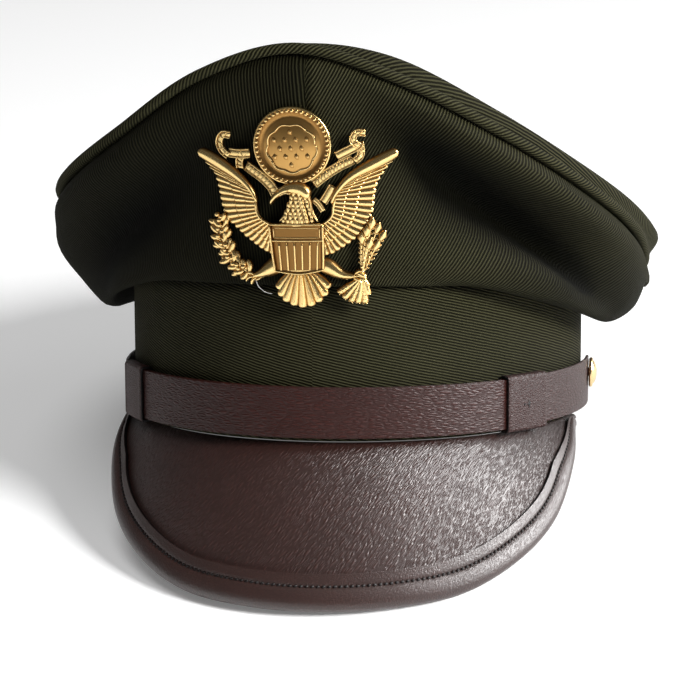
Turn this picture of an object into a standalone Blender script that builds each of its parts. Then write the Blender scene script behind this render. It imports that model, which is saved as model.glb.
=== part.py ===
"""An officer's peaked service cap.

A tall cloth crown with a raised front and soft, drooping sides stands on an oval head band.  A piped
welt joins the crown's top to its sides.  A leather peak with a folded edge binding, a double chin
strap with two keepers, two domed side buttons and a pierced cast badge complete it.

The cap is modelled level, with its front at -Y and the foot of its band at Z = 0, and is then tipped
back onto the edge of its peak and the back of its band, as it rests on a table.
"""

import math

import bmesh
import bpy
import numpy as np
from mathutils import Matrix, Vector

MM = 0.001
GAP = 0.3 * MM

# Head opening and cloth band
HEAD_LENGTH = 206 * MM
HEAD_WIDTH = 166 * MM
BAND_WALL = 2.5 * MM
BAND_HEIGHT = 50 * MM
BAND_FRONT_RISE = 8.5 * MM
FOOT_FRONT_RISE = 3.6 * MM

# Crown
CLOTH = 2.0 * MM
CROWN_RISE = 81 * MM
CROWN_REACH = 36 * MM
FRONT_SEAM_ANGLE = 2.0
ROUND_COLUMNS = 52
WELT_THICKNESS = 3.8 * MM
SHOULDER_REACH = 2.2 * MM
SHOULDER_LIFT = 1.2 * MM
TOP_SWELL = 7 * MM

# Peak and its binding
PEAK_THICKNESS = 2.6 * MM
PEAK_REACH = 34 * MM
PEAK_DROP = 49 * MM
PEAK_SPAN = 78.0
PEAK_TURN = 4.8
PEAK_COLUMN = 6.0
BINDING_THICKNESS = 1.2 * MM
BINDING_FLAP = 9 * MM
BINDING_SPAN = 66.0
BINDING_CLEARANCE = 0.4 * MM

# Chin strap, keepers and buttons
STRAP_WIDTH = 18 * MM
STRAP_THICKNESS = 1.0 * MM
STRAP_LIFT = 1.4 * MM
STRAP_STAND = 2.0 * MM
KEEPER_ANGLE = 54.5
KEEPER_WIDTH = 21 * MM
KEEPER_REACH = 8.0
STRAP_STEP = 14.0
KEEPER_THICKNESS = 1.0 * MM
BUTTON_ANGLE = 94.0
BUTTON_DIAMETER = 11.5 * MM
BUTTON_DOME = 3.0 * MM
BUTTON_RAISE = 2.5 * MM
SHANK_DIAMETER = 3.0 * MM

# Badge, drawn about the middle of its shield's top edge
BADGE_HEIGHT_ON_CAP = 81.3 * MM
BADGE_SIDE_SHIFT = -0.7 * MM
BADGE_LEAN = 1.8
BADGE_BEND_RADIUS = 115 * MM
BADGE_BEND_STEP = 10 * MM
BADGE_PLATE = 1.3 * MM
BADGE_POST_DIAMETER = 3.0 * MM
BADGE_POST_LENGTH = 9 * MM
BADGE_POST_DROP = 3 * MM
BADGE_NUT_DIAMETER = 12 * MM
BADGE_NUT_THICKNESS = 2.0 * MM
DISC_RADIUS = 13.6 * MM
DISC_CENTRE_UP = 26.3 * MM

HALF_LENGTH = HEAD_LENGTH / 2 + BAND_WALL
HALF_WIDTH = HEAD_WIDTH / 2 + BAND_WALL

# Crown sections round the cap, from the front (0) past the wearer's left (90), the back (180) and
# the wearer's right (270).  Lengths out from the band are shares of CROWN_REACH, and heights above
# the band's top are shares of CROWN_RISE.
# angle, under out, under up, low out, low up, high out, high up, welt out, welt up, roll out, roll up
CROWN_SECTIONS = [
    (0, 0.09, 0.06, 0.16, 0.30, 0.22, 0.66, 0.30, 1.01, 0.02, 0.065),
    (20, 0.10, 0.05, 0.20, 0.27, 0.25, 0.56, 0.37, 0.89, 0.05, 0.12),
    (40, 0.15, 0.01, 0.27, 0.16, 0.30, 0.38, 0.52, 0.67, 0.09, 0.10),
    (60, 0.23, -0.08, 0.40, 0.03, 0.46, 0.20, 0.63, 0.44, 0.14, 0.08),
    (80, 0.29, -0.17, 0.52, -0.10, 0.66, 0.05, 0.68, 0.24, 0.20, 0.08),
    (100, 0.29, -0.20, 0.52, -0.15, 0.64, -0.04, 0.66, 0.05, 0.32, 0.08),
    (125, 0.27, -0.19, 0.51, -0.14, 0.64, -0.03, 0.66, 0.08, 0.18, 0.09),
    (155, 0.22, -0.10, 0.45, -0.02, 0.58, 0.10, 0.60, 0.23, 0.10, 0.07),
    (182, 0.20, -0.06, 0.40, 0.04, 0.52, 0.17, 0.55, 0.32, 0.08, 0.06),
    (205, 0.22, -0.09, 0.44, 0.00, 0.58, 0.13, 0.60, 0.30, 0.08, 0.05),
    (235, 0.28, -0.15, 0.53, -0.06, 0.73, 0.09, 0.70, 0.26, 0.06, 0.04),
    (262, 0.31, -0.17, 0.64, -0.05, 0.87, 0.14, 0.81, 0.30, 0.05, 0.04),
    (280, 0.29, -0.15, 0.60, -0.02, 0.83, 0.17, 0.78, 0.36, 0.04, 0.04),
    (300, 0.22, -0.07, 0.43, 0.08, 0.58, 0.25, 0.69, 0.48, 0.03, 0.03),
    (320, 0.15, 0.01, 0.29, 0.18, 0.36, 0.40, 0.54, 0.66, 0.02, 0.03),
    (340, 0.10, 0.05, 0.21, 0.27, 0.27, 0.57, 0.39, 0.90, 0.01, 0.045),
]
ROLL_UNDER_WELT = 0.10

# Soft folds of the crown's sides, by angle either side of the front.  A valley runs from beside the
# badge down and outwards, a ridge lies under it over the band, and a roll lies over it under the
# welt.  Places are shares of the way up the side wall, and lengths are shares of CROWN_REACH.
# angle, valley at, valley depth, ridge at, ridge height, roll height
CROWN_FOLDS = [
    (-84, 0.44, 0.00, 0.36, 0.00, 0.00),
    (-66, 0.47, 0.08, 0.36, 0.02, 0.04),
    (-52, 0.55, 0.14, 0.30, 0.04, 0.05),
    (-38, 0.59, 0.12, 0.25, 0.04, 0.04),
    (-26, 0.62, 0.06, 0.28, 0.00, 0.01),
    (-14, 0.66, 0.00, 0.30, 0.00, 0.00),
    (8, 0.78, 0.00, 0.46, 0.00, 0.00),
    (18, 0.73, 0.06, 0.47, 0.00, 0.01),
    (30, 0.69, 0.15, 0.46, 0.02, 0.04),
    (44, 0.66, 0.21, 0.46, 0.06, 0.06),
    (56, 0.62, 0.22, 0.44, 0.08, 0.07),
    (67, 0.55, 0.15, 0.40, 0.06, 0.05),
    (82, 0.48, 0.00, 0.36, 0.00, 0.00),
]
FOLD_SPREAD = 0.11
ROLL_AT = 0.80
ROLL_SPREAD = 0.07

# Stations of the top panel, as shares of the way from its middle to the welt
TOP_STATIONS = (0, 0.24, 0.46, 0.65, 0.81, 0.93)

# Edge of the peak, from its middle to its corners: how far it reaches out from the band, as a share
# of PEAK_REACH, and how far it drops below the band's level foot, as a share of PEAK_DROP.
# angle, reach, drop
PEAK_SECTIONS = [
    (0, 0.965, 1.01),
    (12, 0.935, 0.995),
    (24, 0.84, 0.95),
    (36, 0.70, 0.805),
    (48, 0.53, 0.595),
    (60, 0.32, 0.265),
    (69, 0.15, 0.07),
    (78, 0.08, 0.045),
]
PEAK_CURVE = ((0.36, 0.22), (0.72, 0.60))

# Badge outlines, in millimetres from the middle of the shield's top edge, on the viewer's right side
# unless they cross the middle.
WING_LEADING_EDGE = [(9.2, -0.4), (12.2, 1.8), (13.2, 8.0), (17.6, 16.0), (24.5, 22.4), (35.0, 24.6)]
WING_TRAILING_EDGE = [(9.0, -11.6), (14.5, -8.4), (20.5, -4.4), (24.6, 1.2), (26.2, 6.5), (27.8, 12.5),
                      (30.6, 18.6), (35.0, 24.6)]
SHIELD = [(-9.6, 0.2), (9.6, 0.2), (8.9, -5.6), (8.7, -12.0), (7.8, -17.4), (0.0, -18.8),
          (-7.8, -17.4), (-8.7, -12.0), (-8.9, -5.6)]
HEAD_AND_NECK = [(-8.9, 7.2), (-7.5, 9.4), (-4.9, 11.7), (-0.9, 13.2), (3.0, 12.2), (4.8, 9.0),
                 (5.2, 5.1), (7.4, 0.6), (7.4, -1.0), (-6.6, -1.0), (-6.2, 1.2), (-3.0, 4.2),
                 (-2.0, 6.4), (-3.2, 8.2), (-5.2, 8.0), (-7.2, 6.6)]
SCROLL_CURL = [(15.4, 27.4), (21.2, 30.4), (21.6, 33.2), (24.0, 34.2), (26.2, 32.4), (25.2, 29.8),
               (23.4, 27.2), (19.2, 24.2), (15.2, 24.8)]
SCROLL_BAND = [(16.6, 25.8), (19.8, 24.6), (18.0, 20.6), (13.0, 14.2), (10.4, 9.6), (6.4, 9.0),
               (6.6, 12.4), (9.0, 15.4)]
SCROLL_LOOP = [(4.4, 5.6), (8.9, 2.9), (13.8, 8.5), (12.9, 11.4), (9.0, 12.6), (8.3, 8.4)]
TAIL = [(-3.6, -17.0), (3.6, -17.0), (9.2, -23.6), (8.4, -26.2), (4.6, -28.8), (0.0, -29.8),
        (-4.6, -28.8), (-8.4, -26.2), (-9.2, -23.6)]
LEG_LEFT = [(-5.0, -12.0), (-10.4, -13.4), (-12.0, -16.2), (-16.4, -15.6), (-18.4, -18.2),
            (-15.0, -19.8), (-11.0, -19.2), (-5.0, -17.6)]
LEG_RIGHT = [(5.0, -12.0), (5.0, -17.6), (10.6, -19.6), (15.2, -21.8), (21.0, -20.8), (20.4, -17.6),
             (15.8, -19.0), (13.0, -17.4), (9.6, -13.0)]
ARROWS = [(18.6, -19.4), (22.4, -19.4), (31.2, -9.6), (31.8, -3.6), (27.6, 1.0), (23.0, -0.4),
          (22.0, -8.0)]
FLETCHING = [(18.4, -20.2), (12.4, -26.8), (16.6, -28.6), (22.6, -31.0), (23.2, -25.0), (21.6, -20.2)]
BRANCH = [(-17.0, -17.6), (-21.0, -14.6), (-24.6, -9.0), (-26.4, -2.6), (-25.4, 4.2)]
STAR_ROWS = [(5.6, 1), (2.8, 4), (0.0, 3), (-2.8, 4), (-5.6, 1)]
STAR_SPACING = 3.9
WING_FEATHERS = 10
TAIL_FEATHERS = 9
SHIELD_PALES = 6
LEAVES = 11
RIM_BEADS = 20

# Colours: red, green, blue, roughness, metal
CLOTH_FINISH = (0.030, 0.034, 0.020, 0.9, 0.0)
LEATHER_FINISH = (0.060, 0.026, 0.020, 0.45, 0.0)
BRASS_FINISH = (0.62, 0.40, 0.13, 0.3, 1.0)


for old in list(bpy.data.objects):
    bpy.data.objects.remove(old, do_unlink=True)
cap = bpy.data.collections.new("service_cap")
cutters = bpy.data.collections.new("cutters")
bpy.context.scene.collection.children.link(cap)
bpy.context.scene.collection.children.link(cutters)


def finish(obj, look):
    """Gives an object a material of its own."""
    material = bpy.data.materials.new(obj.name)
    material.use_nodes = True
    shader = material.node_tree.nodes["Principled BSDF"]
    shader.inputs["Base Color"].default_value = (*look[:3], 1)
    shader.inputs["Roughness"].default_value = look[3]
    shader.inputs["Metallic"].default_value = look[4]
    obj.data.materials.append(material)


def new_object(name, bm, look=None, collection=None):
    """Turns a bmesh into a named object."""
    mesh = bpy.data.meshes.new(name)
    bm.to_mesh(mesh)
    bm.free()
    obj = bpy.data.objects.new(name, mesh)
    (collection or cap).objects.link(obj)
    if look:
        finish(obj, look)
    return obj


def sheet(name, across, along, place, look, closed=False):
    """A grid of `across` by `along` faces whose corners are put in place by place(u, v)."""
    bm = bmesh.new()
    bmesh.ops.create_grid(bm, x_segments=across, y_segments=along, size=0.5)
    for vertex in bm.verts:
        vertex.co = place(vertex.co.x + 0.5, vertex.co.y + 0.5)
    if closed:
        bmesh.ops.remove_doubles(bm, verts=bm.verts, dist=0.001 * MM)
    bmesh.ops.recalc_face_normals(bm, faces=bm.faces)
    obj = new_object(name, bm, look)
    obj.data.shade_smooth()
    return obj


def thicken(obj, wall):
    """Gives an open surface its wall, half to each side."""
    solid = obj.modifiers.new("wall", "SOLIDIFY")
    solid.thickness = wall
    solid.offset = 0
    solid.use_even_offset = True


def bore(obj, cutter):
    """Cuts a hole for a post or shank."""
    hole = obj.modifiers.new("hole", "BOOLEAN")
    hole.operation = "DIFFERENCE"
    hole.solver = "EXACT"
    hole.object = cutter


def hermite(knots, values, at):
    """Smooth curve through values at the knots, with slopes taken from their neighbours."""
    knots = np.asarray(knots, float)
    values = np.asarray(values, float)
    slopes = np.gradient(values, knots, axis=0)
    at = np.atleast_1d(at)
    span = np.clip(np.searchsorted(knots, at, side="right") - 1, 0, len(knots) - 2)
    width = knots[span + 1] - knots[span]
    t = ((at - knots[span]) / width)[:, None]
    width = width[:, None]
    start, end = values[span], values[span + 1]
    return (start * (2 * t**3 - 3 * t**2 + 1) + slopes[span] * width * (t**3 - 2 * t**2 + t)
            + end * (3 * t**2 - 2 * t**3) + slopes[span + 1] * width * (t**3 - t**2))


def round_table(angle):
    """The crown's section at an angle, read smoothly from the table that runs round the cap."""
    rows = np.array(CROWN_SECTIONS, float)
    before, after = rows[-3:].copy(), rows[:3].copy()
    before[:, 0] -= 360
    after[:, 0] += 360
    rows = np.vstack([before, rows, after])
    return hermite(rows[:, 0], rows[:, 1:], angle % 360)[0]


def peak_section(angle):
    """Reach and drop of the peak's edge at an angle either side of the front."""
    rows = np.array(PEAK_SECTIONS, float)
    mirrored = np.vstack([rows[:0:-1] * (-1, 1, 1), rows])
    reach, drop = hermite(mirrored[:, 0], mirrored[:, 1:], angle)[0]
    return reach * PEAK_REACH, drop * PEAK_DROP


def on_band(angle, out, up):
    """A point `out` from the band's outside face and `up` from its level foot."""
    turn = math.radians(angle)
    x, y = HALF_WIDTH * math.sin(turn), -HALF_LENGTH * math.cos(turn)
    normal = Vector((math.sin(turn) / HALF_WIDTH, -math.cos(turn) / HALF_LENGTH, 0)).normalized()
    return Vector((x, y, up)) + normal * out


def front_share(angle):
    """1 at the front of the cap, falling smoothly to 0 at its sides."""
    return max(math.cos(math.radians(angle)), 0.0)


def band_foot(angle):
    return FOOT_FRONT_RISE * front_share(angle)


def band_top(angle):
    return BAND_HEIGHT + BAND_FRONT_RISE * front_share(angle)


def welt_point(angle):
    """Out and up of the welt's middle."""
    row = round_table(angle)
    return np.array((row[6] * CROWN_REACH, band_top(angle) + row[7] * CROWN_RISE))


def crown_folds(angle, shares):
    """How far the soft folds push the side wall out at an angle, at shares of the way up it."""
    rows = np.array(CROWN_FOLDS, float)
    turn = (angle + 180) % 360 - 180
    valley_at, depth, ridge_at, ridge, roll = (np.interp(turn, rows[:, 0], column) for column in rows.T[1:])
    push = ridge * np.exp(-((shares - ridge_at) / FOLD_SPREAD) ** 2)
    push += roll * np.exp(-((shares - ROLL_AT) / ROLL_SPREAD) ** 2)
    push -= depth * np.exp(-((shares - valley_at) / FOLD_SPREAD) ** 2)
    return push * CROWN_REACH


def side_profile(angle, shares):
    """Out and up of the crown's side wall, from the band's top edge to just under the welt."""
    row = round_table(angle)
    out, up = row[:8:2] * CROWN_REACH, band_top(angle) + row[1:8:2] * CROWN_RISE
    welt = np.array((out[3], up[3]))
    points = np.array([
        (-BAND_WALL / 2, band_top(angle) + 2 * GAP + CLOTH / 2),
        (SHOULDER_REACH, band_top(angle) + SHOULDER_LIFT),
        (out[0], up[0]),
        (out[1], up[1]),
        (out[2], up[2]),
        welt + (0.012 * CROWN_REACH, -ROLL_UNDER_WELT * CROWN_RISE),
        welt,
    ])
    steps = np.hypot(*np.diff(points, axis=0).T)
    knots = np.concatenate([[0], np.cumsum(steps)])
    end = knots[-1] - WELT_THICKNESS / 2 - GAP
    stations = np.interp(np.atleast_1d(shares) * (len(points) - 1), range(len(points)), [*knots[:-1], end])
    profile = hermite(knots, points, stations)
    profile[:, 0] += crown_folds(angle, np.atleast_1d(shares))
    return profile


def side_wall(name, start, end, columns, rows):
    """One side panel of the crown, from its front seam to its back seam."""
    inset = math.degrees(GAP / 2 / HALF_WIDTH)
    shares = np.linspace(0, 1, rows + 1)
    cache = {}

    def place(u, v):
        angle = start + inset + (end - start - 2 * inset) * u
        key = round(u * columns)
        if key not in cache:
            cache[key] = side_profile(angle, shares)
        out, up = cache[key][round(v * rows)]
        return on_band(angle, out, up)

    obj = sheet(name, columns, rows, place, CLOTH_FINISH)
    thicken(obj, CLOTH)
    return obj


def membrane(share, angle, heights):
    """Height of cloth stretched over a rim of the given heights, at a share of the way out."""
    waves = np.fft.rfft(heights) / len(heights)
    orders = np.arange(len(waves))
    weights = np.where(orders == 0, 1, 2)
    return float(np.sum(weights * share**orders * np.real(waves * np.exp(1j * orders * math.radians(angle)))))


RIM_HEIGHTS = [welt_point(angle)[1] for angle in range(0, 360, 5)]


def top_profile(angle, shares):
    """Points of the top panel from its middle to its edge, swelling a little and rolled over the welt."""
    row = round_table(angle)
    rim = on_band(angle, *welt_point(angle))
    edge, middle = rim * 1, (on_band(0, 0, 0) + on_band(180, 0, 0)) / 2
    edge.z = 0
    outward = (edge - middle).normalized()
    points = []
    for station in TOP_STATIONS:
        point = middle.lerp(edge, station) + outward * row[8] * CROWN_REACH * math.sin(math.pi * station**12)
        point.z = (membrane(station, angle, RIM_HEIGHTS) + TOP_SWELL * (1 - station**2)
                   + row[9] * CROWN_RISE * math.sin(math.pi * station**6))
        points.append(point)
    points.append(rim + (points[-1] - rim).normalized() * (WELT_THICKNESS / 2 + 2 * GAP))
    return hermite(range(len(points)), points, np.asarray(shares) * (len(points) - 1))


def crown_top(columns, rows):
    """The top panel: cloth drawn over the welt's rim."""
    shares = np.linspace(0, 1, rows + 1)
    cache = {}

    def place(u, v):
        key = round(u * columns)
        if key not in cache:
            cache[key] = top_profile(FRONT_SEAM_ANGLE + 360 * u, shares)
        return cache[key][round(v * rows)]

    obj = sheet("crown_top", columns, rows, place, CLOTH_FINISH, closed=True)
    thicken(obj, CLOTH)
    return obj


def make_welt(columns, sides):
    """The piping: a closed ring of round section along the crown's rim."""
    def rim(u):
        angle = FRONT_SEAM_ANGLE + 360 * u
        return on_band(angle, *welt_point(angle))

    def place(u, v):
        centre = rim(u)
        ahead = (rim(u + 1 / columns) - rim(u - 1 / columns)).normalized()
        outward = ahead.cross(Vector((0, 0, 1))).normalized()
        upward = outward.cross(ahead)
        turn = 2 * math.pi * v
        radius = WELT_THICKNESS / 2
        return centre + (outward * math.cos(turn) + upward * math.sin(turn)) * radius

    return sheet("crown_welt", columns, sides, place, CLOTH_FINISH, closed=True)


def make_band(columns, rows):
    """The head band: an oval wall whose foot and top rise a little at the front."""
    def place(u, v):
        angle = FRONT_SEAM_ANGLE + 360 * u
        foot, top = band_foot(angle), band_top(angle)
        return on_band(angle, -BAND_WALL / 2, foot + (top - foot) * v)

    obj = sheet("cap_band", columns, rows, place, CLOTH_FINISH, closed=True)
    thicken(obj, BAND_WALL)
    return obj


def peak_point(angle, share):
    """A point on the middle of the peak's board, a share of the way from its root to its edge."""
    reach, drop = peak_section(angle)
    round_band = angle + PEAK_TURN
    root = band_foot(round_band) - GAP - PEAK_THICKNESS / 2
    a, edge = np.array((-BAND_WALL, root)), np.array((reach, -drop))
    d = edge - (edge - a) / np.hypot(*(edge - a)) * (PEAK_THICKNESS / 2 + BINDING_CLEARANCE + BINDING_THICKNESS)
    b, c = (np.array((d[0] * along, root + (d[1] - root) * down)) for along, down in PEAK_CURVE)
    t = share
    out, up = a * (1 - t)**3 + 3 * b * t * (1 - t)**2 + 3 * c * t * t * (1 - t) + d * t**3
    return on_band(round_band, out, up)


def peak_directions(angle, share):
    """Unit vectors straight out of the board's upper face, and across its edge."""
    across = peak_point(angle + 0.5, share) - peak_point(angle - 0.5, share)
    ahead = peak_point(angle, share + 0.01) - peak_point(angle, share - 0.01)
    above = ahead.cross(across).normalized()
    return above, across.cross(above).normalized()


def make_peak(columns, rows):
    def place(u, v):
        return peak_point(PEAK_SPAN * (2 * u - 1), v)

    obj = sheet("peak", columns, rows, place, LEATHER_FINISH)
    thicken(obj, PEAK_THICKNESS)
    return obj


def make_binding(columns, flap_rows, fold_rows):
    """A leather strip folded round the peak's edge, with a flap above and below."""
    stand = PEAK_THICKNESS / 2 + BINDING_CLEARANCE + BINDING_THICKNESS / 2
    rows = 2 * flap_rows + fold_rows

    def place(u, v):
        angle = BINDING_SPAN * (2 * u - 1)
        edge = peak_point(angle, 1)
        length = (edge - peak_point(angle, 0)).length
        flap = min(BINDING_FLAP, 0.36 * length)
        row = round(v * rows)
        if flap_rows <= row <= flap_rows + fold_rows:
            above, ahead = peak_directions(angle, 1)
            turn = math.pi * (row - flap_rows) / fold_rows
            return edge + (above * math.cos(turn) + ahead * math.sin(turn)) * stand
        side = 1 if row < flap_rows else -1
        share = 1 - flap / length * (1 - min(row, rows - row) / flap_rows)
        above, _ = peak_directions(angle, share)
        return peak_point(angle, share) + above * side * stand

    obj = sheet("peak_binding", columns, rows, place, LEATHER_FINISH)
    thicken(obj, BINDING_THICKNESS)
    return obj


def strap_stand(angle):
    """Gap between the band and the inner strap: it clears the keepers and stands away at the buttons."""
    under_keeper = 2 * GAP + KEEPER_THICKNESS
    share = min(abs(angle) / KEEPER_ANGLE, 1.0)
    past = max(abs(angle) - KEEPER_ANGLE, 0) / (BUTTON_ANGLE - KEEPER_ANGLE)
    rise = share * share * (3 - 2 * share)
    return 2 * GAP + (under_keeper - 2 * GAP) * rise + (STRAP_STAND - under_keeper) * min(past, 1)


def strap_foot(angle):
    return band_foot(angle) + STRAP_LIFT


def strap_out(angle, layer):
    """How far a strap layer's middle stands from the band.  The outer one comes in past the inner's end."""
    alone = min(max(-angle - KEEPER_ANGLE - KEEPER_REACH, 0) / STRAP_STEP, 1)
    raised = layer * (1 - alone * alone * (3 - 2 * alone))
    return strap_stand(angle) + STRAP_THICKNESS / 2 + raised * (STRAP_THICKNESS + GAP)


def make_strap(name, side, layer, columns):
    """A strap from the button on one side, across the front, into the keeper on the other."""
    round_end = math.degrees(STRAP_WIDTH / 2 / HALF_LENGTH)
    start, end = side * (BUTTON_ANGLE + round_end), -side * KEEPER_ANGLE

    def place(u, v):
        angle = start + (end - start) * u
        near_tip = max(1 - abs(angle - start) / round_end, 0)
        half = STRAP_WIDTH / 2 * math.sqrt(max(1 - near_tip**2, 0.12))
        middle = strap_foot(angle) + STRAP_WIDTH / 2
        return on_band(angle, strap_out(angle, layer), middle + half * (2 * v - 1))

    obj = sheet(name, columns, 2, place, LEATHER_FINISH)
    thicken(obj, STRAP_THICKNESS)
    return obj


def make_keeper(name, side):
    """A leather loop round both layers of the strap."""
    half_angle = math.degrees(KEEPER_WIDTH / 2 / (HALF_WIDTH + HALF_LENGTH) * 2)
    clear = GAP + KEEPER_THICKNESS / 2
    corners = ((0, 0), (1, 0), (1, 1), (0, 1), (0, 0))
    corner_steps = 2

    def place(u, v):
        angle = side * KEEPER_ANGLE + half_angle * (2 * u - 1)
        inner = strap_stand(angle) - clear
        outer = strap_out(angle, 1) + STRAP_THICKNESS / 2 + clear
        low, high = strap_foot(angle) - clear, strap_foot(angle) + STRAP_WIDTH + clear
        step = round(v * 4 * corner_steps)
        near, far = corners[step // corner_steps % 4], corners[step // corner_steps % 4 + 1]
        share = step % corner_steps / corner_steps
        out = inner + (outer - inner) * (near[0] + (far[0] - near[0]) * share)
        up = low + (high - low) * (near[1] + (far[1] - near[1]) * share)
        return on_band(angle, out, up)

    obj = sheet(name, 4, 4 * corner_steps, place, LEATHER_FINISH, closed=True)
    thicken(obj, KEEPER_THICKNESS)
    return obj


def facing(angle, out, up):
    """A frame on the band's face, its Z axis pointing straight out."""
    outward = (on_band(angle, 1, up) - on_band(angle, 0, up)).normalized()
    turn = outward.to_track_quat("Z", "Y").to_matrix().to_4x4()
    return Matrix.Translation(on_band(angle, out, up)) @ turn


def rod(name, radius, low, high, frame, sides=16, look=None):
    """A plain cylinder along a frame's Z axis; without a look it is a cutter."""
    bm = bmesh.new()
    bmesh.ops.create_cone(bm, cap_ends=True, segments=sides, radius1=radius, radius2=radius,
                          depth=high - low)
    bmesh.ops.translate(bm, verts=bm.verts, vec=(0, 0, (high + low) / 2))
    bmesh.ops.transform(bm, matrix=frame, verts=bm.verts)
    obj = new_object(name, bm, look, cap if look else cutters)
    if not look:
        obj.hide_render = True
        obj.display_type = "WIRE"
    return obj


def turned(name, profile, frame, look, steps, ring=False):
    """A solid turned about a frame's Z axis from a profile of radius and height, read down its outside."""
    bm = bmesh.new()
    points = [bm.verts.new((radius, 0, height)) for radius, height in profile]
    for first, second in zip(points, points[1:] + points[:ring]):
        bm.edges.new((first, second))
    obj = new_object(name, bm, look)
    obj.matrix_world = frame
    screw = obj.modifiers.new("turned", "SCREW")
    screw.steps = screw.render_steps = steps
    screw.use_merge_vertices = True
    screw.merge_threshold = 0.01 * MM
    return obj


def make_button(name, side, strap, layer):
    """A domed brass button whose shank runs through the strap's end to the band."""
    angle = side * BUTTON_ANGLE
    up = strap_foot(angle) + STRAP_WIDTH / 2 + BUTTON_RAISE
    frame = facing(angle, 0, up)
    face = strap_out(angle, layer) + STRAP_THICKNESS / 2 + GAP
    radius, shank = BUTTON_DIAMETER / 2, SHANK_DIAMETER / 2
    dome = [(radius * math.cos(t), face + 0.25 * BUTTON_DOME + 0.75 * BUTTON_DOME * math.sin(t))
            for t in np.linspace(math.pi / 2, 0, 5)]
    dome[0] = (0, dome[0][1])
    profile = [*dome, (radius * 0.94, face), (shank, face), (shank, GAP), (0, GAP)]
    obj = turned(name, profile, frame, BRASS_FINISH, 14)
    bore(strap, rod(name + "_hole", shank + GAP, 0, face + BUTTON_DOME, frame))
    return obj


def plate(outline, low, high, shrink=1.0):
    """A closed plate on an outline given in millimetres, its top drawn in by `shrink`."""
    bm = bmesh.new()
    points = [bm.verts.new((x * MM, y * MM, low * MM)) for x, y in outline]
    base = bm.faces.new(points)
    raised = bmesh.ops.extrude_face_region(bm, geom=[base])["geom"]
    top = [v for v in raised if isinstance(v, bmesh.types.BMVert)]
    bmesh.ops.translate(bm, verts=top, vec=(0, 0, (high - low) * MM))
    centre = sum((v.co for v in top), Vector()) / len(top)
    for vertex in top:
        vertex.co.xy = centre.xy + (vertex.co.xy - centre.xy) * shrink
    bmesh.ops.recalc_face_normals(bm, faces=bm.faces)
    return bm


def mirrored(outline):
    return [(-x, y) for x, y in outline]


def blade(start, end, width, tip=0.8):
    """The outline of a feather or leaf from its root to its tip."""
    start, end = Vector(start), Vector(end)
    along = end - start
    side = Vector((-along.y, along.x)).normalized() * width / 2
    return [tuple(p) for p in (start - side * 0.8, end - side * tip, end + along * 0.05,
                               end + side * tip, start + side * 0.8)]


def along_line(points, share):
    """A point a share of the way along a line of points, by its length."""
    points = [Vector(p) for p in points]
    steps = [0]
    for first, second in zip(points, points[1:]):
        steps.append(steps[-1] + (second - first).length)
    x = np.interp(share * steps[-1], steps, [p.x for p in points])
    y = np.interp(share * steps[-1], steps, [p.y for p in points])
    return Vector((float(x), float(y)))


def ring_outline(radius, count, ripple=0.0, lobes=1):
    turns = [2 * math.pi * i / count for i in range(count)]
    return [((radius + ripple * math.cos(lobes * t)) * math.cos(t),
             (radius + ripple * math.cos(lobes * t)) * math.sin(t)) for t in turns]


def moved(outline, x, y):
    return [(px + x, py + y) for px, py in outline]


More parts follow.
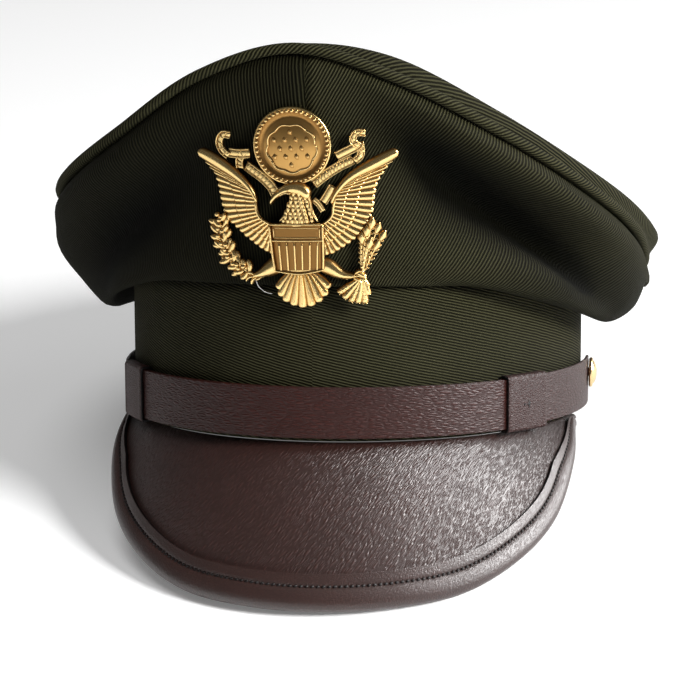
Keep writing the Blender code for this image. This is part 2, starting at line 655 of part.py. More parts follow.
def badge_pieces():
    """Every plate of the badge, as outline, height and how far its top draws in."""
    thin = BADGE_PLATE / MM
    disc_x, disc_y = 0.0, DISC_CENTRE_UP / MM
    disc = DISC_RADIUS / MM
    pieces = []
    for flip in (list, mirrored):
        wing = WING_LEADING_EDGE + WING_TRAILING_EDGE[-2::-1]
        pieces.append((flip(wing), thin, 0.97))
        for i in range(WING_FEATHERS):
            share = (i + 0.5) / WING_FEATHERS
            root = along_line(WING_LEADING_EDGE, 0.06 + 0.66 * share)
            tip = along_line(WING_TRAILING_EDGE, 0.06 + 0.90 * share)
            pieces.append((flip(blade(root, root.lerp(tip, 1.04), 2.5)), thin + 0.7, 0.55))
        pieces.append((flip(SCROLL_CURL), thin + 0.6, 0.85))
        pieces.append((flip(SCROLL_BAND), thin + 0.2, 0.92))
    pieces.append((moved(ring_outline(disc, 24), disc_x, disc_y), thin + 0.7, 0.97))
    pieces.append((moved(ring_outline(disc * 0.64, 20, 0.35, 10), disc_x, disc_y - 1.2), thin + 1.1, 0.97))
    for i in range(RIM_BEADS):
        turn = 2 * math.pi * i / RIM_BEADS
        bead = moved(ring_outline(0.9, 4), disc_x + (disc - 1.2) * math.cos(turn),
                     disc_y + (disc - 1.2) * math.sin(turn))
        pieces.append((bead, thin + 1.3, 0.4))
    for height, count in STAR_ROWS:
        for i in range(count):
            x = (i - (count - 1) / 2) * STAR_SPACING
            star = moved(ring_outline(1.0, 5), disc_x + x, disc_y - 1.2 + height)
            pieces.append((star, thin + 1.7, 0.3))
    pieces.append((HEAD_AND_NECK, thin + 1.5, 0.86))
    pieces.append((SCROLL_LOOP, thin + 0.3, 0.9))
    pieces.append((TAIL, thin, 0.96))
    pieces.append((SHIELD, thin + 1.2, 0.97))
    pieces.append(([(-9.2, -0.4), (9.2, -0.4), (8.6, -5.4), (-8.6, -5.4)], thin + 1.6, 0.95))
    for i in range(SHIELD_PALES):
        x = (i - (SHIELD_PALES - 1) / 2) * 2.7
        pieces.append(([(x - 0.45, -17.2), (x + 0.45, -17.2), (x + 0.5, -6.2), (x - 0.5, -6.2)],
                       thin + 1.7, 0.7))
    for i in range(TAIL_FEATHERS):
        turn = math.radians(-54 + 108 * i / (TAIL_FEATHERS - 1))
        length = 12.6 + 2.6 * math.cos(turn) ** 4
        tip = (length * math.sin(turn), -15.8 - length * math.cos(turn))
        pieces.append((blade((0.28 * tip[0], -17.2), tip, 2.6, 1.3), thin + 0.8, 0.6))
    for outline in (LEG_LEFT, LEG_RIGHT):
        pieces.append((outline, thin + 0.9, 0.8))
    pieces.append((ARROWS, thin + 0.5, 0.85))
    pieces.append((FLETCHING, thin + 0.4, 0.85))
    for i in range(len(BRANCH) - 1):
        start, end = Vector(BRANCH[i]), Vector(BRANCH[i + 1])
        pieces.append((blade(start, end + (end - start) * 0.2, 1.6, 0.9), thin, 0.8))
    for i in range(LEAVES):
        share = 0.06 + 0.88 * i / (LEAVES - 1)
        root = along_line(BRANCH, share)
        ahead = along_line(BRANCH, share + 0.06) - along_line(BRANCH, share - 0.06)
        side = 1 if i % 2 else -1
        turn = Matrix.Rotation(side * math.radians(55), 2)
        tip = root + (turn @ ahead).normalized() * 5.2
        pieces.append((blade(root, tip, 2.2, 0.6), thin + 0.5, 0.5))
    return pieces


def badge_frame(stand):
    """Places the badge on the crown's front: X to the viewer's right, Y up the front, Z outwards."""
    low, high = side_profile(0, 0.4)[0], side_profile(0, 0.85)[0]
    rise = Vector((0, -(high[0] - low[0]), high[1] - low[1])).normalized()
    across = Vector((1, 0, 0))
    outward = across.cross(rise)
    share = (BADGE_HEIGHT_ON_CAP - low[1]) / (high[1] - low[1])
    out = low[0] + (high[0] - low[0]) * share
    origin = on_band(0, out, BADGE_HEIGHT_ON_CAP) + outward * stand
    origin.x = BADGE_SIDE_SHIFT
    return Matrix.Translation(origin) @ Matrix((across, rise, outward)).transposed().to_4x4()


def bend(point):
    """Bends the flat badge round an upright axis behind it, after leaning it."""
    leant = Matrix.Rotation(math.radians(BADGE_LEAN), 3, "Z") @ point
    turn = leant.x / BADGE_BEND_RADIUS
    radius = BADGE_BEND_RADIUS + leant.z
    return Vector((radius * math.sin(turn), leant.y, radius * math.cos(turn) - BADGE_BEND_RADIUS))


def crown_clearance(point):
    """How far a point lies outside the crown's front, measured straight out from the band."""
    angle = math.degrees(math.atan2(point.x / HALF_WIDTH, -point.y / HALF_LENGTH))
    profile = side_profile(angle, np.linspace(0, 1, 25))
    wall = np.interp(point.z, profile[4:, 1], profile[4:, 0]) + CLOTH / 2
    foot = on_band(angle, 0, point.z)
    outward = on_band(angle, 1, point.z) - foot
    return (point - foot).dot(outward.normalized()) - wall


def make_badge():
    """One pierced casting: all its plates joined, then bent to follow the crown's front."""
    base = None
    pieces = bpy.data.collections.new("badge_plates")
    cutters.children.link(pieces)
    for i, (outline, height, shrink) in enumerate(badge_pieces()):
        bm = plate(outline, 0, height, shrink)
        if base is None:
            base = new_object("badge", bm, BRASS_FINISH)
        else:
            piece = new_object(f"badge_plate_{i}", bm, None, pieces)
            piece.hide_render = True
            piece.display_type = "WIRE"
    post = rod("badge_post", BADGE_POST_DIAMETER / 2, -BADGE_POST_LENGTH, BADGE_PLATE / 2,
               Matrix.Translation((0, -BADGE_POST_DROP, 0)), 12)
    cutters.objects.unlink(post)
    pieces.objects.link(post)
    union = base.modifiers.new("cast", "BOOLEAN")
    union.operation = "UNION"
    union.solver = "EXACT"
    union.operand_type = "COLLECTION"
    union.collection = pieces
    bpy.context.view_layer.update()
    cast = bpy.data.meshes.new_from_object(base.evaluated_get(bpy.context.evaluated_depsgraph_get()))
    base.modifiers.clear()
    bm = bmesh.new()
    bm.from_mesh(cast)
    bmesh.ops.dissolve_limit(bm, angle_limit=math.radians(0.3), verts=bm.verts, edges=bm.edges)
    for x in np.arange(-30, 31, BADGE_BEND_STEP / MM):
        geometry = bm.verts[:] + bm.edges[:] + bm.faces[:]
        bmesh.ops.bisect_plane(bm, geom=geometry, dist=0.001 * MM, plane_co=(x * MM, 0, 0), plane_no=(1, 0, 0))
    bmesh.ops.remove_doubles(bm, verts=bm.verts, dist=0.002 * MM)
    bmesh.ops.triangulate(bm, faces=bm.faces)
    backs = [vertex.co.copy() for vertex in bm.verts if abs(vertex.co.z) < 0.01 * MM]
    flush = badge_frame(0)
    stand = GAP - min(crown_clearance(flush @ bend(point)) for point in backs)
    frame = badge_frame(stand)
    for vertex in bm.verts:
        vertex.co = frame @ bend(vertex.co)
    bm.to_mesh(base.data)
    bm.free()
    for piece in list(pieces.objects):
        bpy.data.objects.remove(piece, do_unlink=True)
    return base, frame @ Matrix.Translation((0, -BADGE_POST_DROP, 0))


def fasten_badge(post_frame):
    """Bores the crown for the badge's post, and puts a plain ring nut on it inside."""
    hole = rod("badge_hole", BADGE_POST_DIAMETER / 2 + GAP, -BADGE_POST_LENGTH, 2 * CLOTH, post_frame, 12)
    bore(left_wall, hole)
    bore(right_wall, hole)
    radius = BADGE_NUT_DIAMETER / 2
    turns = np.linspace(0, 2 * math.pi, 12, endpoint=False)
    rim = [post_frame @ Vector((radius * math.cos(t), radius * math.sin(t), 0)) for t in turns]
    face = -(max(crown_clearance(point) for point in rim) + CLOTH + GAP)
    inner, back = BADGE_POST_DIAMETER / 2 + GAP, face - BADGE_NUT_THICKNESS
    profile = [(inner, face), (radius, face), (radius, back), (inner, back)]
    return turned("badge_nut", profile, post_frame, BRASS_FINISH, 16, ring=True)


def points_of(obj):
    """An object's points as the viewport shows it."""
    bpy.context.view_layer.update()
    shown = obj.evaluated_get(bpy.context.evaluated_depsgraph_get())
    mesh = shown.to_mesh()
    points = np.array([obj.matrix_world @ vertex.co for vertex in mesh.vertices])
    shown.to_mesh_clear()
    return points


def rest_tilt(edge, rim):
    """How far the cap tips back before the peak's edge and the back of its band both touch the table."""
    low, high = 0.0, math.radians(40)
    for _ in range(40):
        tilt = (low + high) / 2
        lowest = [np.min(p[:, 2] * math.cos(tilt) - p[:, 1] * math.sin(tilt)) for p in (edge, rim)]
        if lowest[0] < lowest[1]:
            low = tilt
        else:
            high = tilt
    return tilt


def set_down():
    """Tips the cap onto the table, its box centred on the origin."""
    rest = bpy.data.objects.new("cap_rest", None)
    cap.objects.link(rest)
    tilt = rest_tilt(points_of(binding), points_of(band))
    turn = Matrix.Rotation(-tilt, 4, "X")
    solids = [obj for obj in cap.objects if obj.type == "MESH"]
    points = np.vstack([points_of(obj) for obj in solids]) @ np.array(turn.to_3x3()).T
    low, high = points.min(axis=0), points.max(axis=0)
    rest.rotation_euler = (-tilt, 0, 0)
    rest.location = (-(low[0] + high[0]) / 2, -(low[1] + high[1]) / 2, -low[2])
    for obj in solids + list(cutters.objects):
        obj.parent = rest
    bpy.context.view_layer.update()


BACK_SEAM_ANGLE = FRONT_SEAM_ANGLE + 180
band = make_band(ROUND_COLUMNS, 1)
left_wall = side_wall("crown_side_left", FRONT_SEAM_ANGLE, BACK_SEAM_ANGLE, ROUND_COLUMNS // 2, 11)
right_wall = side_wall("crown_side_right", BACK_SEAM_ANGLE, BACK_SEAM_ANGLE + 180, ROUND_COLUMNS // 2, 11)
crown_top(ROUND_COLUMNS, len(TOP_STATIONS))
make_welt(ROUND_COLUMNS, 6)
make_peak(round(2 * PEAK_SPAN / PEAK_COLUMN), 6)
binding = make_binding(round(2 * BINDING_SPAN / PEAK_COLUMN), 2, 3)
outer_strap = make_strap("chin_strap_outer", -1, 1, 30)
inner_strap = make_strap("chin_strap_inner", 1, 0, 30)
make_keeper("strap_keeper_left", 1)
make_keeper("strap_keeper_right", -1)
make_button("side_button_left", 1, inner_strap, 0)
make_button("side_button_right", -1, outer_strap, 1)
badge, badge_post_frame = make_badge()
fasten_badge(badge_post_frame)
set_down()
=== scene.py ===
# %% [markdown]
# # An officer's peaked cap
# A service cap is mostly cloth stretched over a band, with a leather peak and a metal badge.
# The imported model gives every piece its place, so it is loaded first, and each soft or cast piece is
# then made again with finer curves, folds and finishes in the same place.

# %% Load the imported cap
import math

import bmesh
import bpy
import numpy as np
from mathutils import Matrix, Vector


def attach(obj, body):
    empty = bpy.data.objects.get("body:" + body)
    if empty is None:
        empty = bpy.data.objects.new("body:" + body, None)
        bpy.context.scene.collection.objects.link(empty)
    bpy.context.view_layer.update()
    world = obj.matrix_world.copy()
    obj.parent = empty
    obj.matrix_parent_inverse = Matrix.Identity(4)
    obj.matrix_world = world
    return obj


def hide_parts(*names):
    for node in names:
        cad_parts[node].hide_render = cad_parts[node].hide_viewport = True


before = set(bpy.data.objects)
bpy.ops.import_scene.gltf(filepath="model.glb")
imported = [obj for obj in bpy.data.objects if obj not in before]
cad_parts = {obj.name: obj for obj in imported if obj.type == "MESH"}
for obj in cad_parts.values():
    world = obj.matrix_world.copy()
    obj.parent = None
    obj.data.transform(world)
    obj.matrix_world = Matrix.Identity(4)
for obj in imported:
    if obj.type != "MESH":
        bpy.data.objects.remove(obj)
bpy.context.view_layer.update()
print("nodes:", ", ".join(sorted(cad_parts)))

# %% [markdown]
# The cap was drawn level, with its front at -Y and the foot of its band at zero, and was then tipped
# back to rest on the edge of its peak and the back of its band.  The same turn is used here, so each
# piece can be shaped while the cap is level, where its left and right sides are easy to compare.

# %% Named sizes and the resting pose
MM = 0.001
TIP = math.radians(12.09035)
REST = Matrix.Translation((0.0022006, 0.0028639, 0.0220847)) @ Matrix.Rotation(-TIP, 4, "X")

BAND_WALL = 2.5 * MM
HALF_LENGTH = 103 * MM + BAND_WALL
HALF_WIDTH = 83 * MM + BAND_WALL
BAND_HEIGHT = 50 * MM
BAND_FRONT_RISE = 8.5 * MM
FOOT_FRONT_RISE = 3.6 * MM
CLOTH = 2.0 * MM
GAP = 0.3 * MM
CROWN_RISE = 81 * MM
CROWN_REACH = 36 * MM
FRONT_SEAM = 2.0
WELT = 3.8 * MM
print(f"tipped back {math.degrees(TIP):.1f} degrees")

# %% [markdown]
# Smooth forms come from short tables.  A Hermite curve passes through every row of a table and takes
# its slope from the rows on both sides, so a crown that is drawn at sixteen angles has no corners.

# %% Curves through a table
def hermite(knots, values, at):
    """Smooth curve through values at the knots."""
    knots, values, at = np.asarray(knots, float), np.asarray(values, float), np.atleast_1d(at)
    slopes = np.gradient(values, knots, axis=0)
    span = np.clip(np.searchsorted(knots, at, side="right") - 1, 0, len(knots) - 2)
    width = knots[span + 1] - knots[span]
    t = ((at - knots[span]) / width)[:, None]
    width = width[:, None]
    return (values[span] * (2 * t**3 - 3 * t**2 + 1) + slopes[span] * width * (t**3 - 2 * t**2 + t)
            + values[span + 1] * (3 * t**2 - 2 * t**3) + slopes[span + 1] * width * (t**3 - t**2))


def on_band(angle, out, up):
    """Points `out` from the band's outer face and `up` from its level foot, for arrays of angles."""
    turn = np.radians(angle)
    x, y = HALF_WIDTH * np.sin(turn), -HALF_LENGTH * np.cos(turn)
    nx, ny = np.sin(turn) / HALF_WIDTH, -np.cos(turn) / HALF_LENGTH
    long = np.hypot(nx, ny)
    return np.stack(np.broadcast_arrays(x + out * nx / long, y + out * ny / long, up + 0 * turn), axis=-1)


def front_share(angle):
    return np.maximum(np.cos(np.radians(angle)), 0)


def band_foot(angle):
    return FOOT_FRONT_RISE * front_share(angle)


def band_top(angle):
    return BAND_HEIGHT + BAND_FRONT_RISE * front_share(angle)


def bump(x, centre, width):
    """A soft hill, 1 at its centre."""
    return np.exp(-((x - centre) / width) ** 2)


# %% [markdown]
# Every sheet of cloth or leather starts as one flat grid.  Its corners are moved to an array of
# points, its UV map is laid out in metres so that a weave keeps its real size, and a Solidify
# modifier gives it its thickness.

# %% Sheets
def grid_place(vertex, columns, rows):
    """Column and row of a corner of a grid that is 1 wide and centred."""
    return round((vertex.co.x + 0.5) * columns), round((vertex.co.y + 0.5) * rows)


def laid_sheet(name, points, uvs, wall, closed_round=False, pole=False, folds=None, even=True):
    """A grid whose corners lie at points[i, j], with a UV map in metres and a wall."""
    columns, rows = points.shape[0] - 1, points.shape[1] - 1
    bm = bmesh.new()
    bmesh.ops.create_grid(bm, x_segments=columns, y_segments=rows, size=0.5)
    layer = bm.loops.layers.uv.new("cloth")
    # The "fold" layer carries painted shade, which darkens the cloth.
    depth = bm.verts.layers.float.new("fold")
    for vertex in bm.verts:
        i, j = grid_place(vertex, columns, rows)
        vertex.co = points[i, j]
        vertex[depth] = 0 if folds is None else folds[i, j]
        for loop in vertex.link_loops:
            loop[layer].uv = uvs[i, j]
    if closed_round or pole:
        bmesh.ops.remove_doubles(bm, verts=bm.verts, dist=0.001 * MM)
    bmesh.ops.recalc_face_normals(bm, faces=bm.faces)
    bm.transform(REST)
    piece = as_piece(name, bm)
    if wall:
        solid = piece.modifiers.new("wall", "SOLIDIFY")
        solid.thickness, solid.offset, solid.use_even_offset = wall, 0, even
    return piece


def as_piece(name, bm):
    """Puts a finished bmesh on show and lets it ride with the cap."""
    mesh = bpy.data.meshes.new(name)
    bm.to_mesh(mesh)
    bm.free()
    piece = bpy.data.objects.new(name, mesh)
    bpy.context.scene.collection.objects.link(piece)
    mesh.shade_smooth()
    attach(piece, "root")
    return piece


def soften(piece, width, segments=2):
    """Rounds the sharp edges of a finished sheet."""
    edge = piece.modifiers.new("edge", "BEVEL")
    edge.width, edge.segments = width, segments
    edge.limit_method, edge.angle_limit = "ANGLE", math.radians(40)


def paint_edge_shadow(piece):
    """Paints the cut edges of a leather sheet near black, as a painted shadow line along them."""
    piece.data.materials.append(edge_shadow_and_mark)
    piece.modifiers["wall"].material_offset_rim = 1


def lengths_along(points, axis):
    """Length from the first point along one axis of a grid of points."""
    steps = np.linalg.norm(np.diff(points, axis=axis), axis=-1)
    start = np.zeros_like(np.take(points, [0], axis=axis)[..., 0])
    return np.concatenate([start, np.cumsum(steps, axis=axis)], axis=axis)


def stand_for(piece, node, finish):
    """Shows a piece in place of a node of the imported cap."""
    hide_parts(node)
    piece.data.materials.clear()
    piece.data.materials.append(finish)
    print(f"{piece.name}: {len(piece.data.polygons)} faces for {node}")


# %% [markdown]
# ## Camera, floor and light
# The photograph looks slightly down at the cap from the right of its front, through a long lens.
# The camera is set from the cap's own axes, so it keeps the photograph's angle to it, and ends a
# little over 20 degrees above the floor.  The light comes from the right, as the dark left side of
# the crown shows.  The broad sheen on the right of the peak is the reflection of a window, so one lamp
# only lights the cap, a second one is only seen in its gloss, and a weak one hangs above.

# %% Camera
PHOTO_WIDTH, FOCAL_LENGTH, SENSOR = 700, 2560, 36
CAMERA_SHIFT = (-10, 51.5)


def make_camera():
    around, above, roll, distance = math.radians(10.7), math.radians(9.6), math.radians(-0.15), 1.0
    back = Vector((math.sin(around) * math.cos(above), -math.cos(around) * math.cos(above), math.sin(above)))
    right = Vector((math.cos(around), math.sin(around), 0))
    up = back.cross(right)
    right, up = (right * math.cos(roll) + up * math.sin(roll), up * math.cos(roll) - right * math.sin(roll))
    data = bpy.data.cameras.new("camera")
    data.sensor_width = SENSOR
    data.lens = FOCAL_LENGTH / PHOTO_WIDTH * SENSOR
    data.shift_x, data.shift_y = (pixels / PHOTO_WIDTH for pixels in CAMERA_SHIFT)
    data.clip_start, data.clip_end = 0.05, 20
    camera = bpy.data.objects.new("camera", data)
    turn = Matrix((right, up, back)).transposed().to_4x4()
    camera.matrix_world = REST @ Matrix.Translation(back * distance) @ turn
    bpy.context.scene.collection.objects.link(camera)
    bpy.context.scene.camera = camera
    print("camera", [round(c, 3) for c in camera.matrix_world.translation])


make_camera()

# %% [markdown]
# The cap stands on a white floor under a dim white sky.  The floor glows a little, so that it stays
# white far behind the cap, where the lamps are weak.  Round lamps are used because their edges are
# soft, and each can be told whether it gives light or is only seen in the gloss.

# %% Floor, sky and lamps
FLOOR_GLOW, SKY_STRENGTH = 0.16, 0.11


def node_tree(material_name):
    material = bpy.data.materials.new(material_name)
    material.use_nodes = True
    return material, material.node_tree, material.node_tree.nodes["Principled BSDF"]


def set_inputs(node, values):
    for name, value in values.items():
        node.inputs[name].default_value = value


def make_floor():
    bm = bmesh.new()
    bmesh.ops.create_grid(bm, x_segments=1, y_segments=1, size=6)
    mesh = bpy.data.meshes.new("floor")
    bm.to_mesh(mesh)
    bm.free()
    floor = bpy.data.objects.new("floor", mesh)
    bpy.context.scene.collection.objects.link(floor)
    paint, _, shader = node_tree("pale_floor")
    set_inputs(shader, {"Base Color": (0.94, 0.94, 0.94, 1), "Emission Color": (1, 1, 1, 1),
                        "Emission Strength": FLOOR_GLOW, "Roughness": 0.9})
    floor.data.materials.append(paint)


def area_lamp(name, place, size, power, lights=True, shines=True):
    """A round soft lamp aimed at the cap, which may give light, reflections or both."""
    data = bpy.data.lights.new(name, "AREA")
    data.shape, data.size, data.energy = "DISK", size, power
    lamp = bpy.data.objects.new(name, data)
    lamp.location = place
    lamp.rotation_mode = "QUATERNION"
    lamp.rotation_quaternion = (Vector((0, 0, 0.06)) - Vector(place)).to_track_quat("-Z", "Y")
    lamp.visible_diffuse, lamp.visible_glossy = lights, shines
    bpy.context.scene.collection.objects.link(lamp)


world = bpy.data.worlds.new("sky")
bpy.context.scene.world = world
world.use_nodes = True
set_inputs(world.node_tree.nodes["Background"], {"Color": (1, 1, 1, 1), "Strength": SKY_STRENGTH})
bpy.context.scene.view_settings.view_transform = "Standard"
make_floor()
area_lamp("key", (2.0, -1.05, 1.30), 0.9, 118, shines=False)
area_lamp("window", (2.22, 0.55, 1.25), 1.7, 225, lights=False)
area_lamp("above", (-0.2, -0.5, 2.8), 1.8, 26, shines=False)
print("lamps:", ", ".join(sorted(lamp.name for lamp in bpy.data.lights)))

# %% [markdown]
# ## Finishes
# The cloth is a serge: fine slanting ribs, a little fuzz, and no shine.  The ribs are a wave across
# the UV map, which is in metres, so they keep their real spacing of about a millimetre; the grooves
# between them are painted near black as shade.  Each piece has its own lean, as its cloth was cut, and
# its own level of painted light, lower on the shaded side.  A "fold" attribute paints shade into the
# bottoms of the folds and over the viewer's right side of the crown.

# %% Serge cloth
# The dark rib colour is painted shade in the grooves, and the last colour is the painted shade of the folds.
RIB_DARK, RIB_LIGHT, PAINTED_FOLD_SHADE = (0.0014, 0.0013, 0.0005), (0.052, 0.050, 0.025), (0.0010, 0.0010, 0.0006)


def add_node(tree, kind, values=(), feeds=(), **settings):
    """A shader node with its settings, its values by socket, and the outputs that feed its sockets."""
    node = tree.nodes.new("ShaderNode" + kind)
    for name, value in settings.items():
        setattr(node, name, value)
    set_inputs(node, dict(values))
    for name, output in dict(feeds).items():
        tree.links.new(output, node.inputs[name])
    return node


def add_relief(tree, height, strength, distance):
    """A bump whose result goes to the shader."""
    relief = add_node(tree, "Bump", {"Strength": strength, "Distance": distance}, {"Height": height})
    tree.links.new(relief.outputs["Normal"], tree.nodes["Principled BSDF"].inputs["Normal"])
    return relief


def serge(name, lean, spacing, depth=0.7, painted_light_level=1.0):
    """Ribbed olive cloth; `lean` turns the ribs from level, in degrees, and the last number scales its colour
    as painted light.
    """
    finish, tree, shader = node_tree(name)
    place = add_node(tree, "UVMap").outputs["UV"]
    turned = add_node(tree, "Mapping", feeds={"Vector": place})
    turned.inputs["Rotation"].default_value[2] = math.radians(90 - lean)
    ribs = add_node(tree, "TexWave", {"Scale": math.pi / 10 / spacing, "Distortion": 1.2, "Detail": 2.0,
                                      "Detail Scale": 0.6}, {"Vector": turned.outputs["Vector"]})
    fuzz = add_node(tree, "TexNoise", {"Scale": 1500, "Detail": 3}, {"Vector": place})
    wear = add_node(tree, "TexNoise", {"Scale": 26, "Detail": 4}, {"Vector": place})
    height = add_node(tree, "Mix", {"Factor": 0.3}, {"A": ribs.outputs["Fac"], "B": fuzz.outputs["Fac"]})
    add_relief(tree, height.outputs["Result"], depth, 0.5 * MM)
    # Painted shade: the grooves between the ribs take the near-black colour and the crests the light one.
    crests = add_node(tree, "MapRange", {"From Min": 0.35, "From Max": 0.85},
                      {"Value": height.outputs["Result"]}, interpolation_type="SMOOTHSTEP")
    mixed = add_node(tree, "Mix", {"Factor": 0.20}, {"A": crests.outputs["Result"], "B": wear.outputs["Fac"]})
    # Painted light: both rib colours are scaled by this piece's level of painted light.
    dark, light = ((*(c * painted_light_level for c in colour), 1) for colour in (RIB_DARK, RIB_LIGHT))
    tone = add_node(tree, "Mix", {"A": dark, "B": light}, {"Factor": mixed.outputs["Result"]},
                    data_type="RGBA")
    # Painted shade: the "fold" attribute darkens the cloth towards near black in the folds and on the
    # viewer's right side of the crown.
    fold = add_node(tree, "Attribute", attribute_name="fold")
    shaded = add_node(tree, "Mix", {"B": (*PAINTED_FOLD_SHADE, 1)},
                      {"Factor": fold.outputs["Fac"], "A": tone.outputs["Result"]}, data_type="RGBA")
    tree.links.new(shaded.outputs["Result"], shader.inputs["Base Color"])
    set_inputs(shader, {"Roughness": 0.9, "Specular IOR Level": 0.06, "Sheen Weight": 0.01,
                        "Sheen Roughness": 0.4, "Sheen Tint": (0.55, 0.57, 0.42, 1)})
    return finish


# The last number of each cloth is its level of painted light: the same cloth is darker on the shaded side.
left_cloth = serge("serge_left", 56, 1.1 * MM, 1.0, 0.88)
right_cloth = serge("serge_right", -86, 1.25 * MM, 0.7, 0.34)
band_cloth = serge("serge_band", -14, 1.0 * MM, 0.8, 0.85)
top_cloth = serge("serge_top", 48, 1.15 * MM, 0.8, 0.9)
welt_cloth = serge("serge_welt", 45, 1.2 * MM, 0.3, 1.0)
print("cloths:", ", ".join(sorted(m.name for m in bpy.data.materials if m.name.startswith("serge"))))

# %% [markdown]
# Leather is a net of fine creases between small plump cells.  Voronoi cells give the cells, the
# distance to their edges gives the creases, and both are stretched the way the leather was pulled:
# down the peak, and along the strap.  A rough coat on top gives the broad sheen of polished leather,
# strong on the peak and weak on the strap.

# %% Leather
def leather(name, grain, stretch, colour, depth, rough=0.5, coat=0.5, sheen=0.42):
    """Creased leather; `grain` is a cell's width, and `stretch` its length over that, along V."""
    finish, tree, shader = node_tree(name)
    source = add_node(tree, "UVMap").outputs["UV"]
    pulled = add_node(tree, "Mapping", {"Scale": (1 / grain, 1 / grain / stretch, 1 / grain)},
                      {"Vector": source}).outputs["Vector"]
    wander = add_node(tree, "TexNoise", {"Scale": 0.6, "Detail": 2}, {"Vector": pulled})
    strayed = add_node(tree, "VectorMath", operation="MULTIPLY_ADD")
    strayed.inputs[1].default_value = (0.5, 0.5, 0.5)
    tree.links.new(wander.outputs["Color"], strayed.inputs[0])
    tree.links.new(pulled, strayed.inputs[2])
    cells = add_node(tree, "TexVoronoi", {"Scale": 1}, {"Vector": strayed.outputs["Vector"]},
                     feature="DISTANCE_TO_EDGE")
    plump = add_node(tree, "MapRange", {"From Max": 0.38}, {"Value": cells.outputs["Distance"]},
                     interpolation_type="SMOOTHSTEP").outputs["Result"]
    creases = add_node(tree, "TexNoise", {"Scale": 1.3, "Detail": 5}, {"Vector": pulled})
    grainy = add_node(tree, "Mix", {"Factor": 0.32}, {"A": plump, "B": creases.outputs["Fac"]})
    relief = add_relief(tree, grainy.outputs["Result"], depth, 0.3 * MM)
    tree.links.new(relief.outputs["Normal"], shader.inputs["Coat Normal"])
    # The colour is painted shade down in the creases and lighter on the plump cells, mixed with a cloudy
    # random tone.
    cloudy = add_node(tree, "TexNoise", {"Scale": 30, "Detail": 3}, {"Vector": source})
    mottle_and_crease_shade = add_node(tree, "Mix", {"Factor": 0.5}, {"A": cloudy.outputs["Fac"], "B": plump})
    deep = (*(c * 0.6 for c in colour), 1)
    raised = (colour[0] * 1.6, colour[1] * 1.25, colour[2] * 1.25, 1)
    tone = add_node(tree, "Mix", {"A": deep, "B": raised}, {"Factor": mottle_and_crease_shade.outputs["Result"]},
                    data_type="RGBA")
    tree.links.new(tone.outputs["Result"], shader.inputs["Base Color"])
    set_inputs(shader, {"Roughness": rough, "Specular IOR Level": 0.5 if coat > 0.2 else 0.3,
                        "Coat Weight": coat, "Coat Roughness": sheen})
    return finish


PEAK_BROWN, BINDING_BROWN = (0.027, 0.0130, 0.0105), (0.026, 0.0130, 0.0105)
STRAP_BROWN = (0.024, 0.0074, 0.0056)
peak_leather = leather("peak_leather", 0.95 * MM, 2.8, PEAK_BROWN, 0.85, coat=0.42)
binding_leather = leather("binding_leather", 0.8 * MM, 1.2, BINDING_BROWN, 0.35, coat=0.45, sheen=0.38)
strap_leather = leather("strap_leather", 1.0 * MM, 1.4, STRAP_BROWN, 1.0, 0.6, 0.10, 0.4)
print("leathers:", ", ".join(m.name for m in (peak_leather, binding_leather, strap_leather)))

# %% [markdown]
# The brass is gilt.  Fine noise dulls it a little, and on the badge the colour and the gloss also
# follow how high each point stands: the colour is painted shade, darkest in the recesses.  A near
# black paints a shadow line along cut leather edges.

# %% Metal, thread and painted edge shadow
def speckled(name, scale, depth):
    """A finish roughened with fine noise."""
    finish, tree, shader = node_tree(name)
    place = add_node(tree, "TexCoord").outputs["Object"]
    speckle = add_node(tree, "TexNoise", {"Scale": scale, "Detail": 2}, {"Vector": place})
    add_relief(tree, speckle.outputs["Fac"], depth, 0.1 * MM)
    return finish, tree, shader


def brass(name, colour=(0.80, 0.58, 0.30), rough=0.27):
    finish, _, shader = speckled(name, 1600, 0.12)
    set_inputs(shader, {"Base Color": (*colour, 1), "Metallic": 1, "Roughness": rough})
    return finish


def cast_gilt(name):
    """Gilt that is duller in its recesses, with painted shade that darkens them."""
    finish, tree, shader = speckled(name, 1300, 0.25)
    crest = add_node(tree, "Attribute", attribute_name="crest").outputs["Fac"]
    # Painted shade: the colour runs from near black-brown in the recesses to bright gold on the crests.
    tone = add_node(tree, "ValToRGB", feeds={"Fac": crest})
    tone.color_ramp.elements[0].color = (0.17, 0.066, 0.014, 1)
    tone.color_ramp.elements[1].color = (0.95, 0.70, 0.30, 1)
    tone.color_ramp.elements.new(0.55).color = (0.56, 0.32, 0.10, 1)
    tree.links.new(tone.outputs["Color"], shader.inputs["Base Color"])
    dull = add_node(tree, "MapRange", {"To Min": 0.48, "To Max": 0.22}, {"Value": crest})
    tree.links.new(dull.outputs["Result"], shader.inputs["Roughness"])
    set_inputs(shader, {"Metallic": 1})
    return finish


def thread(name, colour):
    finish, _, shader = speckled(name, 2500, 0.5)
    set_inputs(shader, {"Base Color": (*colour, 1), "Roughness": 0.7})
    return finish


# Near black that paints a shadow line along the cut edges of the binding and the keepers, and the real colour
# of the mark on a keeper.
edge_shadow_and_mark = thread("edge_shadow_and_mark", (0.0020, 0.0014, 0.0014))
gilt = brass("gilt")
badge_gilt = cast_gilt("badge_gilt")
steel = brass("steel_wire", (0.72, 0.72, 0.70), 0.25)
peak_thread = thread("peak_thread", (0.0045, 0.0025, 0.0022))
print("finishes:", len(bpy.data.materials))

# %% [markdown]
# ## The band
# The head band is a plain oval wall of cloth.  Its foot and its top rise a little at the front.  It is
# the shape that everything else is measured from, so it comes first.

